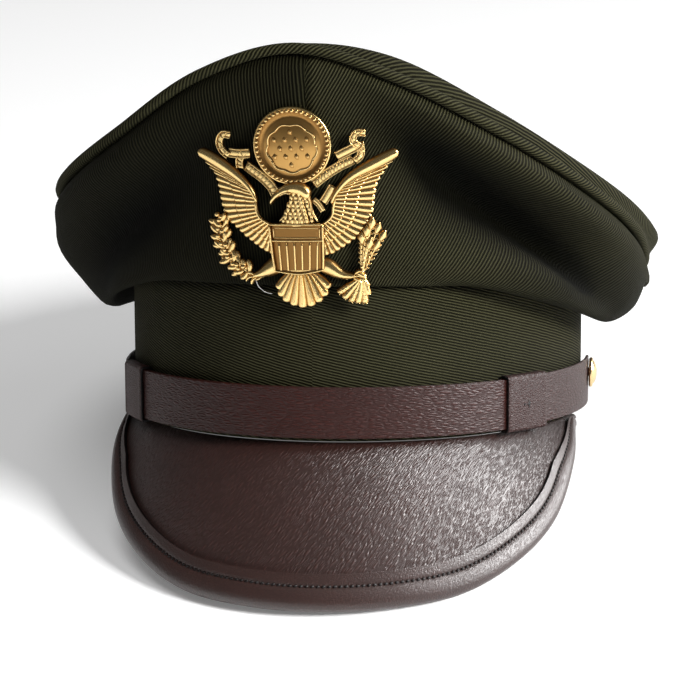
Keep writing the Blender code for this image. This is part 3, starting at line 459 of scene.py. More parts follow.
# %% Band
def make_band():
    angles = FRONT_SEAM + np.linspace(0, 360, 193)
    shares = np.linspace(0, 1, 13)
    foot, top = band_foot(angles)[:, None], band_top(angles)[:, None]
    up = foot + (top - foot) * shares
    points = on_band(angles[:, None], -BAND_WALL / 2, up)
    around = lengths_along(points, 0)[:, :1]
    uvs = np.stack(np.broadcast_arrays(around, up), axis=-1)
    points[-1] = points[0]
    return laid_sheet("band_cloth", points, uvs, BAND_WALL, closed_round=True)


stand_for(make_band(), "cap_band", band_cloth)

# %% [markdown]
# ## The crown
# Two side panels rise from the band, lean outwards and roll up to the piping.  At the front they
# stand tall, because a real one is held up by a spring behind the badge; at the sides they droop and
# hang over the band.  The table gives the section at sixteen angles.

# %% Crown sections
# angle, under out, under up, low out, low up, high out, high up, welt out, welt up, roll out, roll up
CROWN_SECTIONS = np.array([
    (0, 0.09, 0.06, 0.16, 0.30, 0.22, 0.66, 0.30, 1.01, 0.02, 0.065),
    (20, 0.10, 0.05, 0.20, 0.27, 0.25, 0.56, 0.37, 0.89, 0.05, 0.12),
    (40, 0.15, 0.01, 0.27, 0.16, 0.30, 0.38, 0.52, 0.67, 0.09, 0.10),
    (60, 0.23, -0.08, 0.40, 0.03, 0.46, 0.20, 0.63, 0.44, 0.14, 0.08),
    (80, 0.29, -0.17, 0.52, -0.10, 0.66, 0.05, 0.68, 0.24, 0.20, 0.08),
    (100, 0.29, -0.20, 0.52, -0.15, 0.64, -0.04, 0.66, 0.05, 0.32, 0.08),
    (125, 0.27, -0.19, 0.51, -0.14, 0.64, -0.03, 0.66, 0.08, 0.18, 0.09),
    (155, 0.22, -0.10, 0.45, -0.02, 0.58, 0.10, 0.60, 0.23, 0.10, 0.07),
    (182, 0.20, -0.06, 0.40, 0.04, 0.52, 0.17, 0.55, 0.32, 0.08, 0.06),
    (205, 0.22, -0.09, 0.44, 0.00, 0.58, 0.13, 0.60, 0.30, 0.08, 0.05),
    (235, 0.28, -0.15, 0.53, -0.06, 0.73, 0.09, 0.70, 0.26, 0.06, 0.04),
    (262, 0.31, -0.17, 0.64, -0.05, 0.87, 0.14, 0.81, 0.30, 0.05, 0.04),
    (280, 0.29, -0.15, 0.60, -0.02, 0.83, 0.17, 0.78, 0.36, 0.04, 0.04),
    (300, 0.22, -0.07, 0.43, 0.08, 0.58, 0.25, 0.69, 0.48, 0.03, 0.03),
    (320, 0.15, 0.01, 0.29, 0.18, 0.36, 0.40, 0.54, 0.66, 0.02, 0.03),
    (340, 0.10, 0.05, 0.21, 0.27, 0.27, 0.57, 0.39, 0.90, 0.01, 0.045),
])


def section(angle):
    """The crown's section at an angle."""
    before, after = CROWN_SECTIONS[-3:].copy(), CROWN_SECTIONS[:3].copy()
    before[:, 0] -= 360
    after[:, 0] += 360
    rows = np.vstack([before, CROWN_SECTIONS, after])
    return hermite(rows[:, 0], rows[:, 1:], np.atleast_1d(angle) % 360)


def welt_line(angles):
    """Points along the middle of the piping."""
    rows = section(angles)
    return on_band(np.asarray(angles), rows[:, 6] * CROWN_REACH, band_top(angles) + rows[:, 7] * CROWN_RISE)


def side_section(angle, shares):
    """Out and up of the side wall at one angle, from the band's top to just under the piping."""
    row = section(angle)[0]
    out, up = row[:8:2] * CROWN_REACH, band_top(angle) + row[1:8:2] * CROWN_RISE
    welt = np.array((out[3], up[3]))
    points = np.array([
        (-BAND_WALL / 2, band_top(angle) + 2 * GAP + CLOTH / 2),
        (2.2 * MM, band_top(angle) + 1.2 * MM),
        (out[0], up[0]), (out[1], up[1]), (out[2], up[2]),
        welt + (0.012 * CROWN_REACH, -0.10 * CROWN_RISE), welt])
    steps = np.hypot(*np.diff(points, axis=0).T)
    knots = np.concatenate([[0], np.cumsum(steps)])
    end = knots[-1] - WELT / 2 - GAP
    stations = np.interp(shares * (len(points) - 1), range(len(points)), [*knots[:-1], end])
    return hermite(knots, points, stations), stations


# %% [markdown]
# Worn cloth isn't even.  On each side a valley runs from beside the badge down and outwards, with a
# ridge under it over the band and a roll over it under the piping.  The folds are one more table,
# laid over the sections.

# %% Crown sides
# angle, valley at, valley depth, ridge at, ridge height, roll height
CROWN_FOLDS = np.array([
    (-84, 0.44, 0.00, 0.36, 0.00, 0.00), (-66, 0.47, 0.12, 0.36, 0.02, 0.04),
    (-52, 0.55, 0.20, 0.30, 0.05, 0.06), (-38, 0.59, 0.18, 0.25, 0.05, 0.05),
    (-26, 0.62, 0.10, 0.28, 0.00, 0.01), (-14, 0.66, 0.00, 0.30, 0.00, 0.00),
    (8, 0.78, 0.00, 0.46, 0.00, 0.00), (18, 0.73, 0.10, 0.47, 0.00, 0.02),
    (30, 0.69, 0.26, 0.46, 0.03, 0.06), (44, 0.66, 0.39, 0.46, 0.09, 0.10),
    (56, 0.62, 0.40, 0.44, 0.11, 0.11), (67, 0.55, 0.23, 0.40, 0.07, 0.06),
    (82, 0.48, 0.00, 0.36, 0.00, 0.00)])
SEAM_GROOVE, WELT_GROOVE = 1.1 * MM, 2.3 * MM
SEAM_GROOVE_WIDTH, WELT_GROOVE_WIDTH, SMOOTH_FOOT = 1.5 * MM, 2.4 * MM, 8 * MM
UV_RADIUS = 112 * MM
# angles between which the viewer's right side of the crown gets painted shade, fully between the middle two
FAR_SIDE, FAR_SIDE_SHADE = (34, 60, 90, 140), 0.75


def crown_folds(angle, shares):
    """How far soft folds push the side wall out, in metres, and how much painted shade darkens it there."""
    turn = (angle + 180) % 360 - 180
    ends = CROWN_FOLDS[0, 0], CROWN_FOLDS[-1, 0]
    valley_at, valley, ridge_at, ridge, roll = (
        hermite(CROWN_FOLDS[:, 0], CROWN_FOLDS[:, 1:], np.clip(turn, *ends))[0])
    push = ridge * bump(shares, ridge_at, 0.11) + roll * bump(shares, 0.80, 0.07)
    # Painted shade in the valleys of the folds.
    inside = np.clip(valley / 0.18, 0, 1.4) * bump(shares, valley_at - 0.01, 0.13)
    # Painted shade over the viewer's right side of the crown, around the middle of its height.
    first, full, still_full, last = FAR_SIDE
    sideways = (np.clip((turn - first) / (full - first), 0, 1)
                * np.clip((last - turn) / (last - still_full), 0, 1))
    far_side_shade = FAR_SIDE_SHADE * sideways * bump(shares, 0.50, 0.30)
    push = (push - valley * bump(shares, valley_at, 0.105)) * CROWN_REACH
    return push, np.clip(np.maximum(inside, far_side_shade), 0, 0.96)


def make_side(name, start, end):
    inset = math.degrees(GAP / 2 / HALF_WIDTH)
    angles = start + inset + (end - start - 2 * inset) * (1 - np.cos(np.linspace(0, math.pi, 161))) / 2
    shares = (1 - np.cos(np.linspace(0, math.pi, 57))) / 2
    points, uvs, folds = [], [], []
    for angle in angles:
        profile, stations = side_section(angle, shares)
        push, inside = crown_folds(angle, shares)
        ahead = np.gradient(profile, axis=0)
        outward = np.stack([ahead[:, 1], -ahead[:, 0]], axis=-1) / np.linalg.norm(ahead, axis=1)[:, None]
        from_seam = math.radians(min(angle - start, end - angle)) * HALF_WIDTH
        dip = (SEAM_GROOVE * bump(from_seam, 0, SEAM_GROOVE_WIDTH)
               + WELT_GROOVE * bump(stations, stations[-1], WELT_GROOVE_WIDTH))
        dip[stations < SMOOTH_FOOT] = 0
        profile = profile - outward * dip[:, None]
        points.append(on_band(angle, profile[:, 0] + push, profile[:, 1]))
        uvs.append(np.stack([np.full(len(shares), np.radians(angle) * UV_RADIUS), stations], axis=-1))
        folds.append(inside)
    return laid_sheet(name, np.array(points), np.array(uvs), CLOTH, folds=np.array(folds))


stand_for(make_side("side_panel_left", FRONT_SEAM, FRONT_SEAM + 180), "crown_side_left", left_cloth)
stand_for(make_side("side_panel_right", FRONT_SEAM + 180, FRONT_SEAM + 360), "crown_side_right",
          right_cloth)

# %% [markdown]
# The top panel is stretched over the piping like a drum skin, so its height at any point is a smooth
# average of the rim round it.  A Fourier series of the rim's heights gives exactly that surface.

# %% Crown top
TOP_STATIONS = (0, 0.24, 0.46, 0.65, 0.81, 0.93)
TOP_PUFF = 7 * MM
RIM_HEIGHTS = welt_line(np.arange(0, 360, 5))[:, 2]


def drum_skin(share, angle):
    waves = np.fft.rfft(RIM_HEIGHTS) / len(RIM_HEIGHTS)
    orders = np.arange(len(waves))
    weights = np.where(orders == 0, 1, 2)
    return float(np.sum(weights * share**orders * np.real(waves * np.exp(1j * orders * math.radians(angle)))))


def top_section(angle, shares):
    row, rim = section(angle)[0], welt_line([angle])[0]
    middle = (on_band(0.0, 0, 0) + on_band(180.0, 0, 0)) / 2
    edge = rim * (1, 1, 0)
    outward = (edge - middle) / np.linalg.norm(edge - middle)
    points = []
    for share in TOP_STATIONS:
        roll = row[8] * CROWN_REACH * math.sin(math.pi * share**12)
        point = middle + (edge - middle) * share + outward * roll
        point[2] = (drum_skin(share, angle) + TOP_PUFF * (1 - share**2)
                    + row[9] * CROWN_RISE * math.sin(math.pi * share**6))
        points.append(point)
    ahead = points[-1] - rim
    points.append(rim + ahead / np.linalg.norm(ahead) * (WELT / 2 + 2 * GAP))
    return hermite(range(len(points)), points, shares * (len(points) - 1))


def make_top():
    angles = FRONT_SEAM + np.linspace(0, 360, 193)
    shares = np.sin(np.linspace(0, math.pi / 2, 45))
    points = np.array([top_section(angle, shares) for angle in angles])
    points[..., 2] -= WELT_GROOVE * bump(shares, 1, 0.018)
    middle = points[0, 0]
    flat = points[..., :2] - middle[:2]
    flat[:, 0] = flat[:, 1]
    uvs = flat / np.linalg.norm(flat, axis=-1)[..., None] * lengths_along(points, 1)[..., None]
    points[-1] = points[0]
    return laid_sheet("top_panel", points, uvs, CLOTH, closed_round=True, pole=True)


stand_for(make_top(), "crown_top", top_cloth)

# %% [markdown]
# The piping is a cord wrapped in the same cloth and caught in the seam.  It is one closed ring of
# round section, bent along the rim.

# %% Piping
def make_welt():
    angles = FRONT_SEAM + np.linspace(0, 360, 289)
    centre = welt_line(angles)
    centre[-1] = centre[0]
    ahead = np.roll(centre[:-1], -1, axis=0) - np.roll(centre[:-1], 1, axis=0)
    ahead = np.vstack([ahead, ahead[:1]])
    ahead /= np.linalg.norm(ahead, axis=1)[:, None]
    outward = np.cross(ahead, (0, 0, 1))
    outward /= np.linalg.norm(outward, axis=1)[:, None]
    upward = np.cross(outward, ahead)
    turns = np.linspace(0, 2 * math.pi, 13)
    points = centre[:, None] + (outward[:, None] * np.cos(turns)[:, None]
                                + upward[:, None] * np.sin(turns)[:, None]) * WELT / 2
    points[:, -1] = points[:, 0]
    around = lengths_along(centre[:, None], 0)
    uvs = np.stack(np.broadcast_arrays(around, turns * WELT / 2), axis=-1)
    return laid_sheet("piping", points, uvs, 0, closed_round=True)


stand_for(make_welt(), "crown_welt", welt_cloth)

# %% [markdown]
# ## The peak
# The peak is stiff leather that grows out of the band's foot and curves down.  Its section at each
# angle is one Bezier curve from the foot of the band to the edge, and a second strip is folded round
# that edge.

# %% Peak
# angle, reach, drop
PEAK_SECTIONS = np.array([
    (0, 0.965, 1.01), (12, 0.935, 0.995), (24, 0.84, 0.95), (36, 0.70, 0.805),
    (48, 0.53, 0.595), (60, 0.32, 0.265), (69, 0.15, 0.07), (78, 0.08, 0.045)])
PEAK_REACH, PEAK_DROP, PEAK_TURN = 34 * MM, 49 * MM, 4.8
PEAK_BOARD, BINDING, BINDING_CLEARANCE = 2.6 * MM, 1.2 * MM, 0.4 * MM


def peak_points(angle, shares):
    """Points on the middle of the peak's board at one angle."""
    rows = np.vstack([PEAK_SECTIONS[:0:-1] * (-1, 1, 1), PEAK_SECTIONS])
    reach, drop = hermite(rows[:, 0], rows[:, 1:], angle)[0] * (PEAK_REACH, PEAK_DROP)
    root = band_foot(angle + PEAK_TURN) - GAP - PEAK_BOARD / 2
    a, edge = np.array((-BAND_WALL, root)), np.array((reach, -drop))
    d = edge - (edge - a) / np.hypot(*(edge - a)) * (PEAK_BOARD / 2 + BINDING_CLEARANCE + BINDING)
    b, c = (np.array((d[0] * along, root + (d[1] - root) * down))
            for along, down in ((0.36, 0.22), (0.72, 0.60)))
    t = np.atleast_1d(shares)[:, None]
    curve = a * (1 - t)**3 + 3 * b * t * (1 - t)**2 + 3 * c * t * t * (1 - t) + d * t**3
    return on_band(angle + PEAK_TURN, curve[:, 0], curve[:, 1])


def make_peak():
    angles = np.linspace(-78, 78, 157)
    points = np.array([peak_points(angle, np.linspace(0, 1, 25)) for angle in angles])
    uvs = np.stack([lengths_along(points, 0), lengths_along(points, 1)], axis=-1)
    return laid_sheet("peak_board", points, uvs, PEAK_BOARD)


board = make_peak()
soften(board, 0.4 * MM)
stand_for(board, "peak", peak_leather)

# %% [markdown]
# The binding is one strip folded round the edge like a hem.  Its flaps lie on both faces of the
# board, so they are drawn from the board's own surface, lifted straight out of it.  The fold is a half
# circle between them, with a soft roll outside the stitches.

# %% Peak binding
def peak_directions(angle, shares):
    """Unit vectors straight out of the board's upper face, and across its edge."""
    across = peak_points(angle + 0.5, shares) - peak_points(angle - 0.5, shares)
    ahead = peak_points(angle, shares + 0.01) - peak_points(angle, shares - 0.01)
    above = np.cross(ahead, across)
    above /= np.linalg.norm(above, axis=1)[:, None]
    ahead = np.cross(across, above)
    return above, ahead / np.linalg.norm(ahead, axis=1)[:, None]


STITCH_AT, ROLL_HEIGHT, STITCH_GROOVE = 0.46, 1.0 * MM, 0.45 * MM
ROLL_END, FLAP_WIDTH, FLAP_SHARE, FADE = 1.3, 9 * MM, 0.36, 12
BINDING_STAND = PEAK_BOARD / 2 + BINDING_CLEARANCE + BINDING / 2


def binding_lift(along):
    """How far the face stands proud; `along` is 1 where the fold begins and 1.8 where it ends."""
    roll = np.sin(math.pi * np.clip((along - STITCH_AT) / (ROLL_END - STITCH_AT), 0, 1)) ** 0.8
    return ROLL_HEIGHT * roll - STITCH_GROOVE * bump(along, STITCH_AT, 0.09)


def flap_shares(angle, along):
    """Shares of the board's length that lie under the binding's upper flap."""
    length = np.linalg.norm(peak_points(angle, [1.0])[0] - peak_points(angle, [0.0])[0])
    flap = min(FLAP_WIDTH, FLAP_SHARE * length)
    return 1 - flap / length * (1 - along)


def make_binding(span=72.0, flap_rows=22, fold_rows=14):
    columns = []
    along = np.arange(flap_rows) / flap_rows
    for angle in np.linspace(-span, span, 255):
        shares = flap_shares(angle, along)
        fade = min((span - abs(angle)) / FADE, 1) ** 0.5
        above, _ = peak_directions(angle, shares)
        board = peak_points(angle, shares)
        edge = peak_points(angle, [1.0])[0]
        up, out = (v[0] for v in peak_directions(angle, np.array([1.0])))
        turns = np.linspace(0, math.pi, fold_rows + 1)[:, None]
        reach = BINDING_STAND + fade * binding_lift(1 + 0.8 * turns / math.pi)
        fold = edge + (up * np.cos(turns) + out * np.sin(turns)) * reach
        face = board + above * (BINDING_STAND + fade * binding_lift(along))[:, None]
        columns.append(np.vstack([face, fold, (board - above * BINDING_STAND)[::-1]]))
    points = np.array(columns)
    uvs = np.stack([lengths_along(points, 0), lengths_along(points, 1)], axis=-1)
    return laid_sheet("edge_binding", points, uvs, BINDING, even=False)


binding = make_binding()
soften(binding, 0.3 * MM)
stand_for(binding, "peak_binding", binding_leather)
# Painted shadow along the binding's cut edges.
paint_edge_shadow(binding)

# %% [markdown]
# The binding is sewn through in a groove, with about five stitches to the centimetre.  Each is a small
# ball drawn out along the seam, so a row of them costs little.

# %% Binding stitches
STITCH_SPACING, STITCH_SIZE = 1.95 * MM, Vector((0.90, 0.60, 0.50)) * MM
STITCH_SLANT, STITCH_LIFT = math.radians(24), 0.3 * MM


def make_stitches(span=67.0):
    angles = np.linspace(-span, span, 400)
    stand = BINDING_STAND + BINDING / 2 - STITCH_GROOVE + STITCH_LIFT
    line = []
    for angle in angles:
        share = flap_shares(angle, STITCH_AT)
        above, _ = peak_directions(angle, np.array([share]))
        line.append(peak_points(angle, [share])[0] + above[0] * stand)
    line = np.array(line)
    length = lengths_along(line[:, None], 0)[:, 0]
    bm = bmesh.new()
    for at in np.arange(STITCH_SPACING, length[-1], STITCH_SPACING):
        angle = float(np.interp(at, length, angles))
        middle, ahead = (Vector([float(np.interp(place, length, line[:, k])) for k in range(3)])
                         for place in (at, at + MM))
        above = Vector(peak_directions(angle, np.array([flap_shares(angle, STITCH_AT)]))[0][0])
        x = (ahead - middle).normalized()
        y = above.cross(x).normalized()
        turn = Matrix((x, y, x.cross(y))).transposed().to_4x4()
        turn = turn @ Matrix.Rotation(STITCH_SLANT, 4, "Z") @ Matrix.Diagonal((*STITCH_SIZE, 1))
        bmesh.ops.create_icosphere(bm, subdivisions=1, radius=1, matrix=Matrix.Translation(middle) @ turn)
    bm.transform(REST)
    return as_piece("binding_stitches", bm)


stitches = make_stitches()
stitches.data.materials.append(peak_thread)
print("binding stitches:", len(stitches.data.polygons) // 20)

# %% [markdown]
# ## The chin strap
# Two leather straps lie over each other across the front.  Each starts at a button and ends inside
# the loop on the other side, so the strap could be let out under the chin.

# %% Chin strap
STRAP_WIDTH, STRAP_THICKNESS, STRAP_LIFT, STRAP_STAND = 18 * MM, 1.0 * MM, 1.4 * MM, 2.0 * MM
KEEPER_ANGLE, KEEPER_WIDTH, KEEPER_THICKNESS, BUTTON_ANGLE = 54.5, 21 * MM, 1.0 * MM, 94.0
# how much the grain is drawn together, and how far it is shifted between the two straps
GRAIN_ACROSS, GRAIN_ALONG, LAYER_SHIFT = 1.1, 0.42, 0.1


def strap_stand(angle):
    under_keeper = 2 * GAP + KEEPER_THICKNESS
    share = np.minimum(np.abs(angle) / KEEPER_ANGLE, 1)
    past = np.clip((np.abs(angle) - KEEPER_ANGLE) / (BUTTON_ANGLE - KEEPER_ANGLE), 0, 1)
    rise = share * share * (3 - 2 * share)
    return 2 * GAP + (under_keeper - 2 * GAP) * rise + (STRAP_STAND - under_keeper) * past


def strap_foot(angle):
    return band_foot(angle) + STRAP_LIFT


def strap_out(angle, layer):
    alone = np.clip((-angle - KEEPER_ANGLE - 8) / 14, 0, 1)
    raised = layer * (1 - alone * alone * (3 - 2 * alone))
    return strap_stand(angle) + STRAP_THICKNESS / 2 + raised * (STRAP_THICKNESS + GAP)


def make_strap(name, side, layer):
    round_end = math.degrees(STRAP_WIDTH / 2 / HALF_LENGTH)
    start, end = side * (BUTTON_ANGLE + round_end), -side * KEEPER_ANGLE
    angles = np.linspace(start, end, 161)
    near_tip = np.maximum(1 - np.abs(angles - start) / round_end, 0)
    half = STRAP_WIDTH / 2 * np.sqrt(np.maximum(1 - near_tip**2, 0.06))
    across = np.linspace(-1, 1, 13)
    middle = strap_foot(angles) + STRAP_WIDTH / 2
    up = middle[:, None] + half[:, None] * across
    points = on_band(angles[:, None], strap_out(angles, layer)[:, None], up)
    uvs = np.stack([up * GRAIN_ACROSS + LAYER_SHIFT * layer, lengths_along(points, 0) * GRAIN_ALONG], axis=-1)
    return laid_sheet(name, points, uvs, STRAP_THICKNESS)


for name, side, layer in (("outer", -1, 1), ("inner", 1, 0)):
    strap = make_strap(f"strap_{name}", side, layer)
    soften(strap, 0.32 * MM, 3)
    stand_for(strap, f"chin_strap_{name}", strap_leather)

# %% [markdown]
# A keeper is a loop of leather round both straps.  A bent square would crease at its corners when it
# gets its thickness, so the loop is four quarter circles joined by straight lengths.

# %% Keepers
KEEPER_ROUND, KEEPER_RIM = 1.1 * MM, 0.3 * MM
KEEPER_GRAIN, KEEPER_SHIFT = 1.4, 0.3


def make_keeper(name, side):
    half_angle = math.degrees(KEEPER_WIDTH / (HALF_WIDTH + HALF_LENGTH))
    clear = GAP + KEEPER_THICKNESS / 2
    angles = side * KEEPER_ANGLE + np.linspace(-half_angle, half_angle, 33)
    from_end = (half_angle - np.abs(angles - side * KEEPER_ANGLE)) / half_angle
    inner = strap_stand(angles) - clear
    outer = strap_out(angles, 1) + STRAP_THICKNESS / 2 + clear + KEEPER_RIM * bump(from_end, 0.12, 0.09)
    low, high = strap_foot(angles) - clear, strap_foot(angles) + STRAP_WIDTH + clear
    straight_out, straight_up = outer - inner - 2 * KEEPER_ROUND, high - low - 2 * KEEPER_ROUND
    out, up = [], []
    for a, b, first in ((0, 0, 180), (1, 0, 270), (1, 1, 0), (0, 1, 90)):
        turns = np.radians(first + np.linspace(0, 90, 7))
        corner_out, corner_up = inner + KEEPER_ROUND + straight_out * a, low + KEEPER_ROUND + straight_up * b
        out.append(corner_out[:, None] + KEEPER_ROUND * np.cos(turns))
        up.append(corner_up[:, None] + KEEPER_ROUND * np.sin(turns))
    out, up = np.hstack(out + [out[0][:, :1]]), np.hstack(up + [up[0][:, :1]])
    points = on_band(angles[:, None], out, up)
    uvs = np.stack([up * KEEPER_GRAIN, lengths_along(points, 0) + KEEPER_SHIFT], axis=-1)
    return laid_sheet(name, points, uvs, KEEPER_THICKNESS, closed_round=True, even=False)


for name, side in (("left", 1), ("right", -1)):
    keeper = make_keeper(f"keeper_{name}", side)
    soften(keeper, 0.32 * MM, 3)
    stand_for(keeper, f"strap_keeper_{name}", strap_leather)
    # Painted shadow along the keeper's cut edges.
    paint_edge_shadow(keeper)

# %% [markdown]
# The keeper on the viewer's right has a small dark mark of a few crossed strokes.  Each stroke is a
# ball drawn out thin, almost flush with the leather.

# %% Mark on the keeper
# place along the keeper in millimetres, turn in degrees, half length in millimetres
MARK_STROKES = ((0, 92, 1.7), (-0.1, 12, 1.1), (0.3, 60, 0.9), (-2.6, 85, 0.5))
MARK_HALF_WIDTH, MARK_HALF_HEIGHT = 0.34 * MM, 0.22 * MM


def facing(angle, out, up):
    """A place on the level cap whose X runs along the band, Y up, and Z straight out of it."""
    spot = Vector(on_band(float(angle), out, up))
    z = (Vector(on_band(float(angle), out + MM, up)) - spot).normalized()
    x = Vector((0, 0, 1)).cross(z).normalized()
    return Matrix.Translation(spot) @ Matrix((x, z.cross(x), z)).transposed().to_4x4()


def make_mark():
    bm = bmesh.new()
    face = strap_out(KEEPER_ANGLE, 1) + STRAP_THICKNESS / 2 + GAP + KEEPER_THICKNESS
    place = facing(KEEPER_ANGLE, float(face), float(strap_foot(KEEPER_ANGLE)) + STRAP_WIDTH / 2 - 0.5 * MM)
    for x, turn, length in MARK_STROKES:
        turned = place @ Matrix.Translation((x * MM, 0, 0)) @ Matrix.Rotation(math.radians(turn), 4, "Z")
        size = Matrix.Diagonal((length * MM, MARK_HALF_WIDTH, MARK_HALF_HEIGHT, 1))
        bmesh.ops.create_icosphere(bm, subdivisions=2, radius=1, matrix=turned @ size)
    bm.transform(REST)
    return as_piece("keeper_mark", bm)


mark = make_mark()
mark.data.materials.append(edge_shadow_and_mark)
print("strokes of the mark:", len(MARK_STROKES))

# %% [markdown]
# The buttons are turned: a profile is spun round their axis, with a low dome inside a narrow bead.

# %% Side buttons
# radius, height over the strap, in millimetres
BUTTON_PROFILE = [(0, 3.0), (1.4, 2.94), (2.8, 2.66), (3.9, 2.16), (4.6, 1.62), (4.9, 1.30), (5.15, 1.48),
                  (5.45, 1.42), (5.72, 1.05), (5.7, 0.55), (5.4, 0.08), (1.6, 0.0), (1.6, -2.4), (0, -2.4)]
BUTTON_RISE = 2.5 * MM


def spin_profile(bm, profile, centre, scale, steps):
    """Turns a profile of radii and heights round an upright axis, and returns the new corners."""
    x0, y0 = centre
    before = set(bm.verts)
    corners = [bm.verts.new((x0 + radius * scale, y0, up * scale)) for radius, up in profile]
    edges = [bm.edges.new(pair) for pair in zip(corners, corners[1:])]
    bmesh.ops.spin(bm, geom=corners + edges, cent=(x0, y0, 0), axis=(0, 0, 1), dvec=(0, 0, 0),
                   angle=2 * math.pi, steps=steps, use_merge=True)
    return [vertex for vertex in bm.verts if vertex not in before]


def make_button(name, side, layer):
    bm = bmesh.new()
    angle = side * BUTTON_ANGLE
    face = strap_out(angle, layer) + STRAP_THICKNESS / 2 + GAP
    place = facing(angle, float(face), float(strap_foot(angle)) + STRAP_WIDTH / 2 + BUTTON_RISE)
    spin_profile(bm, BUTTON_PROFILE, (0, 0), MM, 40)
    bmesh.ops.remove_doubles(bm, verts=bm.verts, dist=0.01 * MM)
    bmesh.ops.recalc_face_normals(bm, faces=bm.faces)
    bm.transform(REST @ place)
    return as_piece(name, bm)


stand_for(make_button("button_left", 1, 0), "side_button_left", gilt)
stand_for(make_button("button_right", -1, 1), "side_button_right", gilt)

# %% [markdown]
# ## The badge
# The badge is an eagle cast in brass, pierced between its parts and gilt.  A casting could be carved
# from one block, but its feathers, leaves and ribbons all have the same section: a flat back and a
# rounded face.  So one tool makes nearly all of them, a strip that follows a path.  Flat webs, beads,
# the disc and its stars are other shapes.  Each corner keeps how near it is to a crest, and the finish
# reads that to paint shade into the recesses.

# %% Cast strips
MERGE, BACK_DEPTH = 0.004, 0.5


def points_at(path, shares):
    """Points of a path at shares of its length."""
    path = np.asarray(path, float)
    knots = np.concatenate([[0], np.cumsum(np.linalg.norm(np.diff(path, axis=0), axis=1))])
    return hermite(knots / knots[-1], path, shares)


def spaced(path, count):
    """`count` points along a path, smoothly, closer together at its ends."""
    along = (1 - np.cos(np.linspace(0, math.pi, count))) / 2
    return points_at(path, along), along


def point_at(path, share):
    return points_at(path, share)[0]


def heading(start, end):
    """Unit vectors from start to end, and square to that on its left."""
    ahead = (end - start) / np.linalg.norm(end - start)
    return ahead, np.array((-ahead[1], ahead[0]))


def left_of(ahead):
    return np.stack([-ahead[:, 1], ahead[:, 0]], axis=-1)


def cast_strip(bm, path, half, height, base=0.5, steps=11, blunt=0.2):
    """A closed strip along a path in millimetres, `half` wide to each side, with drawn-in ends."""
    centre, along = spaced(path, steps + 1)
    ahead = np.gradient(centre, axis=0)
    ahead /= np.linalg.norm(ahead, axis=1)[:, None] + 1e-9
    side = left_of(ahead)
    near_end = np.clip(np.minimum(along, 1 - along) / blunt, 0, 1)
    drawn_in = np.sqrt(1 - (1 - near_end) ** 2)
    half = np.atleast_1d(half)
    half = np.interp(along, np.linspace(0, 1, len(half)), half) * drawn_in
    turns = np.linspace(0, math.pi, 8)
    across = np.concatenate([np.cos(turns), [-1, 1, 1]])
    crest = np.concatenate([np.sin(turns), [0, 0, 0]])
    back = np.concatenate([np.zeros(len(turns)), [-1, -1, 0]])
    layer = bm.verts.layers.float["crest"]
    grid = bmesh.ops.create_grid(bm, x_segments=steps, y_segments=len(across) - 1, size=0.5)["verts"]
    for vertex in grid:
        i, j = grid_place(vertex, steps, len(across) - 1)
        x, y = centre[i] + side[i] * half[i] * across[j]
        drawn = drawn_in[i] ** 0.5
        vertex.co = (x, y, base + (height * crest[j] + BACK_DEPTH * back[j]) * drawn)
        # Painted shade of the gilt: darker along the strip's sides, brightest along its top.
        vertex[layer] = crest[j]
    bmesh.ops.remove_doubles(bm, verts=grid, dist=MERGE)


def cast_plate(bm, one_side, other_side, top, thickness, crest=0.0, steps=(24, 6)):
    """A flat web between two lines."""
    start, end = spaced(one_side, steps[0] + 1)[0], spaced(other_side, steps[0] + 1)[0]
    layer = bm.verts.layers.float["crest"]
    grid = bmesh.ops.create_grid(bm, x_segments=steps[0], y_segments=steps[1], size=0.5)["verts"]
    for vertex in grid:
        i, j = round((vertex.co.x + 0.5) * steps[0]), (vertex.co.y + 0.5)
        x, y = start[i] * (1 - j) + end[i] * j
        vertex.co = (x, y, top)
        vertex[layer] = crest
    faces = list({face for vertex in grid for face in vertex.link_faces})
    for face in faces:
        face.normal_update()
    if faces[0].normal.z < 0:
        bmesh.ops.reverse_faces(bm, faces=faces)
    low = bmesh.ops.extrude_face_region(bm, geom=faces, use_keep_orig=True)["geom"]
    for part in low:
        if isinstance(part, bmesh.types.BMVert):
            part.co.z -= thickness


def cast_bead(bm, x, y, z, radius, squash=1.0, crest=1.0):
    """A small ball, flattened by `squash`."""
    layer = bm.verts.layers.float["crest"]
    ball = bmesh.ops.create_uvsphere(bm, u_segments=8, v_segments=5, radius=radius)["verts"]
    for vertex in ball:
        # Painted shade: a bead's gilt is lighter on top and darker underneath.
        vertex[layer] = crest * max(0.2 + 0.8 * vertex.co.z / radius, 0.1)
        vertex.co = (vertex.co.x + x, vertex.co.y + y, vertex.co.z * squash + z)


# %% [markdown]
# A wing has a thick rounded leading edge and three tiers of feathers that overlap like tiles.  Each
# feather starts on the inner line and ends on the outer one, further along it, so they fan.

